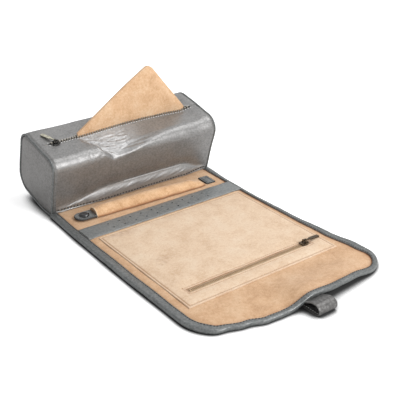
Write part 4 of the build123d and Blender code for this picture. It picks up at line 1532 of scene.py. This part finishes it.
def ringBar():
    stations = [padRing(0.55, 0.80), padRing(0.12, 0.93), padRing(0.2)]
    stations += [padRing(a) for a in spread(0.9, barLength - 0.6, bar["step"])]
    stations += [padRing(barLength - 0.25, 0.95), padRing(barLength - 0.05, 0.8)]
    pad = sweep("ringBarPad", stations, rollSuede, angle=60)
    # painted shade at the pad's base and on its far side, plus rubbed patches at random
    tones = []
    for vertex in pad.data.vertices:
        x, y, z = (c / mm for c in vertex.co)
        across = (Vector((x, y)) - barStart).dot(barAcross) / (bar["width"] / 2)
        darkening = 0.5 + 0.9 * ripple(x / 9, y / 9, 3.0)
        value = 0.9 * (1 - smooth(bar["low"] + 0.9, bar["low"] + 2.6, z)) + 0.36 * smooth(0.0, 0.8, across)
        tones.append(min(0.9, max(0.0, value + 0.16 * darkening)))
    attribute(pad, "shadeAndWearTone", tones)
    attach(pad, "ring_bar")
    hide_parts("ring_bar_pad")
    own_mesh(pad)
    half, high, radius = bar["welt"]
    rings = []
    for t in spread(0.02, pi - 0.02, 0.12):
        x, y, z = barPoint(-0.1, half * cos(t), bar["low"] + 0.5 + high * sin(t) ** 0.75)
        rings.append([(x + a, y, z + b) for a, b in circle(radius, 6)])
    welt = sweep("ringBarWelt", rings, creamEdge, angle=60)
    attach(welt, "ring_bar")
    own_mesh(welt)


ringBar()

tab = {
    "length": 21.5, "width": 17.0, "round": 7.8, "low": 5.4, "thick": 1.4, "gap": 0.1,
    "cap": 11.2,       # how far out the snap's cap sits, and its profile as (radius, height)
    "capProfile": ((5.4, 6.8), (5.4, 7.6), (5.2, 8.1), (4.7, 8.6),
                   (3.9, 8.9), (2.8, 9.05), (1.5, 9.12), (0.4, 9.14)),
}


def tabOutline(inset):
    # the tab's plan, in distance out from the bar's end and across it
    half, length, r = tab["width"] / 2 - inset, tab["length"] - inset, tab["round"] - inset
    points = [(tab["gap"] + inset * 0.4, -half), (tab["gap"] + 4, -half)]
    points += [(length - r + r * sin(t), -half + r - r * cos(t)) for t in spread(0, pi / 2, 0.14)]
    points += [(length - r + r * cos(t), half - r + r * sin(t)) for t in spread(0, pi / 2, 0.14)]
    points += [(tab["gap"] + 4, half), (tab["gap"] + inset * 0.4, half)]
    return points


def snapTab():
    low, top = tab["low"], tab["low"] + tab["thick"]
    levels = ((0.0, low), (0.0, low + 0.9), (0.25, top - 0.1), (0.7, top + 0.12), (1.7, top + 0.12),
              (2.3, top - 0.12), (3.2, top - 0.05), (4.6, top))
    stations = [[barPoint(-a, b, z) for a, b in tabOutline(inset)] for inset, z in levels]
    obj = sweep("ringBarTab", stations, pewterStrip, angle=40, paint=edgePaintAndHoleShade, painted=3)
    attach(obj, "ring_bar")
    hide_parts("ring_bar_tab")
    path = [barPoint(-a, b, top + 0.2) for a, b in tabOutline(1.75)]
    row = rowOf("tabStitches", [path], darkThread, pitch=2.2, size=(1.4, 0.5, 0.4))
    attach(row, "ring_bar")
    cx, cy = barPoint(-tab["cap"], 0, 0)[:2]
    stations = [[(cx + a, cy + b, z) for a, b in circle(radius, 28)] for radius, z in tab["capProfile"]]
    cap = sweep("ringSnapCap", stations, lacquer, angle=50)
    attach(cap, "ring_bar")
    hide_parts("ring_snap_cap")


snapTab()

keeper = {"middle": (78.6, 57.3), "length": 12.4, "width": 18.4, "low": 3.35, "top": 4.75}


def keeperSquare():
    centre = Vector((keeper["middle"][0], forward(keeper["middle"][1])))

    def square(inset, z):
        a, b = keeper["length"] / 2 - inset, keeper["width"] / 2 - inset
        corners = ((-a, -b), (a, -b), (a, b), (-a, b))
        ring = []
        for n, (px, py) in enumerate(corners):
            qx, qy = corners[(n + 1) % 4]
            for share in (0.06, 0.3, 0.5, 0.7, 0.94):
                x, y = px + (qx - px) * share, py + (qy - py) * share
                spot = centre + barDir * x + barAcross * y
                ring.append((spot.x, spot.y, z))
        return ring

    top = keeper["top"]
    levels = ((0, keeper["low"]), (0, top - 0.5), (0.25, top - 0.1), (0.95, top + 0.1), (2.2, top + 0.05),
              (2.6, top - 0.35), (3.2, top - 0.02), (4.2, top + 0.1))
    stations = [square(*level) for level in levels]
    obj = sweep("ringKeeper", stations, pewterStrip, angle=40, paint=edgePaintAndHoleShade, painted=3)
    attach(obj, "panel_1")
    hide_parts("ring_keeper")
    loop = square(2.8, top - 0.12)
    row = rowOf("keeperStitches", [loop + loop[:1]], darkThread, pitch=1.8, size=(1.5, 0.6, 0.5))
    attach(row, "panel_1")


keeperSquare()
print("the ring bar is snapped down")


# The strap loop: one run comes from under the raised edge, the other lies along the surface

strap = {
    "hinge": ((0, -0.1642, 0.004), (0, -0.1745, 0.004)),
    "x": 4.8, "width": 21.0, "thick": 1.5,
    "path": ((-157.5, 6.4), (-161.5, 6.6), (-165, 7.0), (-168.5, 8.5), (-172.5, 9.9),
             (-176.8, 9.9), (-180.0, 8.4), (-181.2, 5.4), (-180.2, 2.4), (-177.2, 0.95),
             (-173, 0.8), (-166, 0.8), (-158, 0.82)),
    "seam": 2.4,       # how far its stitches are from its edges
}


def smoothLine(points, step):
    # a smooth run through given points, evenly spaced
    line = []
    for n in range(len(points) - 1):
        p0, p1 = Vector(points[max(0, n - 1)]), Vector(points[n])
        p2, p3 = Vector(points[n + 1]), Vector(points[min(len(points) - 1, n + 2)])
        steps = max(2, round((p2 - p1).length / step))
        for k in range(steps):
            t = k / steps
            line.append(0.5 * ((2 * p1) + (p2 - p0) * t + (2 * p0 - 5 * p1 + 4 * p2 - p3) * t * t
                               + (3 * p1 - p0 - 3 * p2 + p3) * t ** 3))
    line.append(Vector(points[-1]))
    return line


def strapLoop():
    line, hinge = smoothLine(strap["path"], 0.9), strap["hinge"]
    half, thick = strap["width"] / 2, strap["thick"] / 2
    profile = []
    for face in (1, -1):
        for across in spread(-face, face, 0.1):
            edge = (1 - abs(across)) * half
            groove = 0.22 * hill(edge, strap["seam"], 0.5) if face > 0 else 0.0
            profile.append((across * half, face * thick * (0.55 + 0.45 * smooth(0, 0.8, edge)) - groove))
    stations, seams = [], [[], []]
    for n, spot in enumerate(line):
        ahead = line[min(len(line) - 1, n + 1)] - line[max(0, n - 1)]
        ahead.normalize()
        out = Vector((-ahead.y, ahead.x))
        ring = []
        for across, lift in profile:
            place = spot + out * lift
            ring.append((strap["x"] + across, place.x, max(0.0, place.y)))
        stations.append(ring)
        for k, side in enumerate((-1, 1)):
            place = spot + out * (thick - 0.12)
            seams[k].append((strap["x"] + side * (half - strap["seam"]), place.x, place.y))
    obj = sweep("strapLoop", stations, pewterStrap, angle=50)
    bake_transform(obj)
    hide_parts("strap_loop")
    seams = [seam[3:-4] for seam in seams]
    row = rowOf("strapStitches", seams, greyThread, pitch=2.6, size=(1.7, 0.7, 0.6), up=(0, -0.4, 1))
    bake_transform(row)


strapLoop()


# Finishes of the parts that keep their own shape

keptFinishes = {
    "end_board_left": boardFinish, "end_board_right": boardFinish,
    "end_lining_left": tanSuede, "end_lining_right": tanSuede,
    "case_zip_stops": blackMetal, "case_zip_slider": blackMetal, "case_pull_ring": blackMetal,
    "case_pull_bar": paleBrass, "pocket_zip_tape": tanTape, "pocket_zip_slider": bronze,
    "pocket_pull_ring": bronze, "pocket_pull_bar": bronze,
    "ring_snap_socket": snapSteel, "ring_snap_stud": snapSteel,
}
for node, finish in keptFinishes.items():
    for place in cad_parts[node].material_slots:
        place.material = finish
for item in (grain, tooth):
    bpy.data.objects.remove(item)
print("every part has its finish")


# The pale floor, the light and the camera

def studio():
    scene = bpy.context.scene
    corners = [(x * 3000, y * 3000, -0.05) for x, y in ((-1, -1), (1, -1), (1, 1), (-1, 1))]
    floor = makeMesh("floor", corners, [(0, 1, 2, 3)], None)
    finish, tree, shader = newFinish("floor_white", Roughness=0.9)
    shader.inputs["Emission Color"].default_value = (1, 1, 1, 1)
    seen = tree.nodes.new("ShaderNodeLightPath")
    lift = nodeIn(tree, "ShaderNodeMath", operation="MULTIPLY")
    lift.inputs[1].default_value = 0.5
    # the floor's own glow goes down close to the object, so that the contact shadow stays
    near = nodeIn(tree, "ShaderNodeAmbientOcclusion", samples=16)
    # it reaches further out in front of the raised edge
    split = nodeIn(tree, "ShaderNodeSeparateXYZ")
    tree.links.new(placeOf(tree), split.inputs[0])
    tree.links.new(rangeOf(tree, split.outputs["Y"], 0.034, 0.013, -0.15, -0.09), near.inputs["Distance"])
    glow = nodeIn(tree, "ShaderNodeMath", operation="MULTIPLY")
    greys = ((0.42, 0.05), (0.6, 0.26), (0.78, 0.66), (0.92, 0.92))
    shades = [(at, (tone, tone, tone)) for at, tone in greys]
    # the floor's colour also darkens close to the object: a painted contact shadow
    tree.links.new(rampOf(tree, near.outputs["AO"], shades), shader.inputs["Base Color"])
    tree.links.new(rangeOf(tree, near.outputs["AO"], 0.0, 1.0, 0.55, 1.0), glow.inputs[0])
    wire(tree, (seen, "Is Camera Ray", glow, 1), (glow, 0, lift, 0), (lift, 0, shader, "Emission Strength"))
    floor.data.materials.append(finish)
    world = bpy.data.worlds.new("studioWorld")
    scene.world = world
    world.use_nodes = True
    tree = world.node_tree
    plain = tree.nodes["Background"]
    plain.inputs["Color"].default_value = (0.985, 0.985, 0.99, 1)
    plain.inputs["Strength"].default_value = 0.54
    white = tree.nodes.new("ShaderNodeBackground")
    white.inputs["Strength"].default_value = 1.0
    white.inputs["Color"].default_value = (1, 1, 1, 1)
    rays = tree.nodes.new("ShaderNodeLightPath")
    mix = tree.nodes.new("ShaderNodeMixShader")
    either = nodeIn(tree, "ShaderNodeMath", operation="MAXIMUM")
    wire(tree, (rays, "Is Camera Ray", either, 0), (rays, "Is Transmission Ray", either, 1),
         (either, 0, mix, "Fac"), (plain, 0, mix, 1), (white, 0, mix, 2),
         (mix, 0, tree.nodes["World Output"], "Surface"))
    lamps = {
        "keyLight": ((0.64, -0.08, 1.12), (0.0, 0.08, 0.05), (0.7, 0.7), 6.2),
        "browLight": ((0.31, -0.98, 0.63), (-0.06, 0.1, 0.06), (0.32, 0.8), 8.8),
        "fillLight": ((-0.5, -1.3, 0.9), (0.0, 0.05, 0.05), (1.2, 1.2), 1.6),
        "backLight": ((0.62, 0.98, 0.95), (0.0, 0.1, 0.05), (0.9, 0.9), 1.6),
    }
    for name, (place, aim, size, power) in lamps.items():
        lamp = bpy.data.lights.new(name, "AREA")
        lamp.shape = "RECTANGLE"
        lamp.energy = power
        lamp.size = size[0]
        lamp.size_y = size[1]
        obj = bpy.data.objects.new(name, lamp)
        obj.location = place
        obj.rotation_euler = (Vector(aim) - Vector(place)).to_track_quat("-Z", "Y").to_euler()
        scene.collection.objects.link(obj)
    lens = bpy.data.cameras.new("camera")
    lens.lens = 71.68
    lens.sensor_width = 36.0
    camera = bpy.data.objects.new("camera", lens)
    camera.location = (-0.41366, -0.56191, 0.38433)
    camera.rotation_euler = (radians(63.47), 0, radians(-36.77))
    scene.collection.objects.link(camera)
    scene.camera = camera
    scene.view_settings.view_transform = "Standard"


studio()
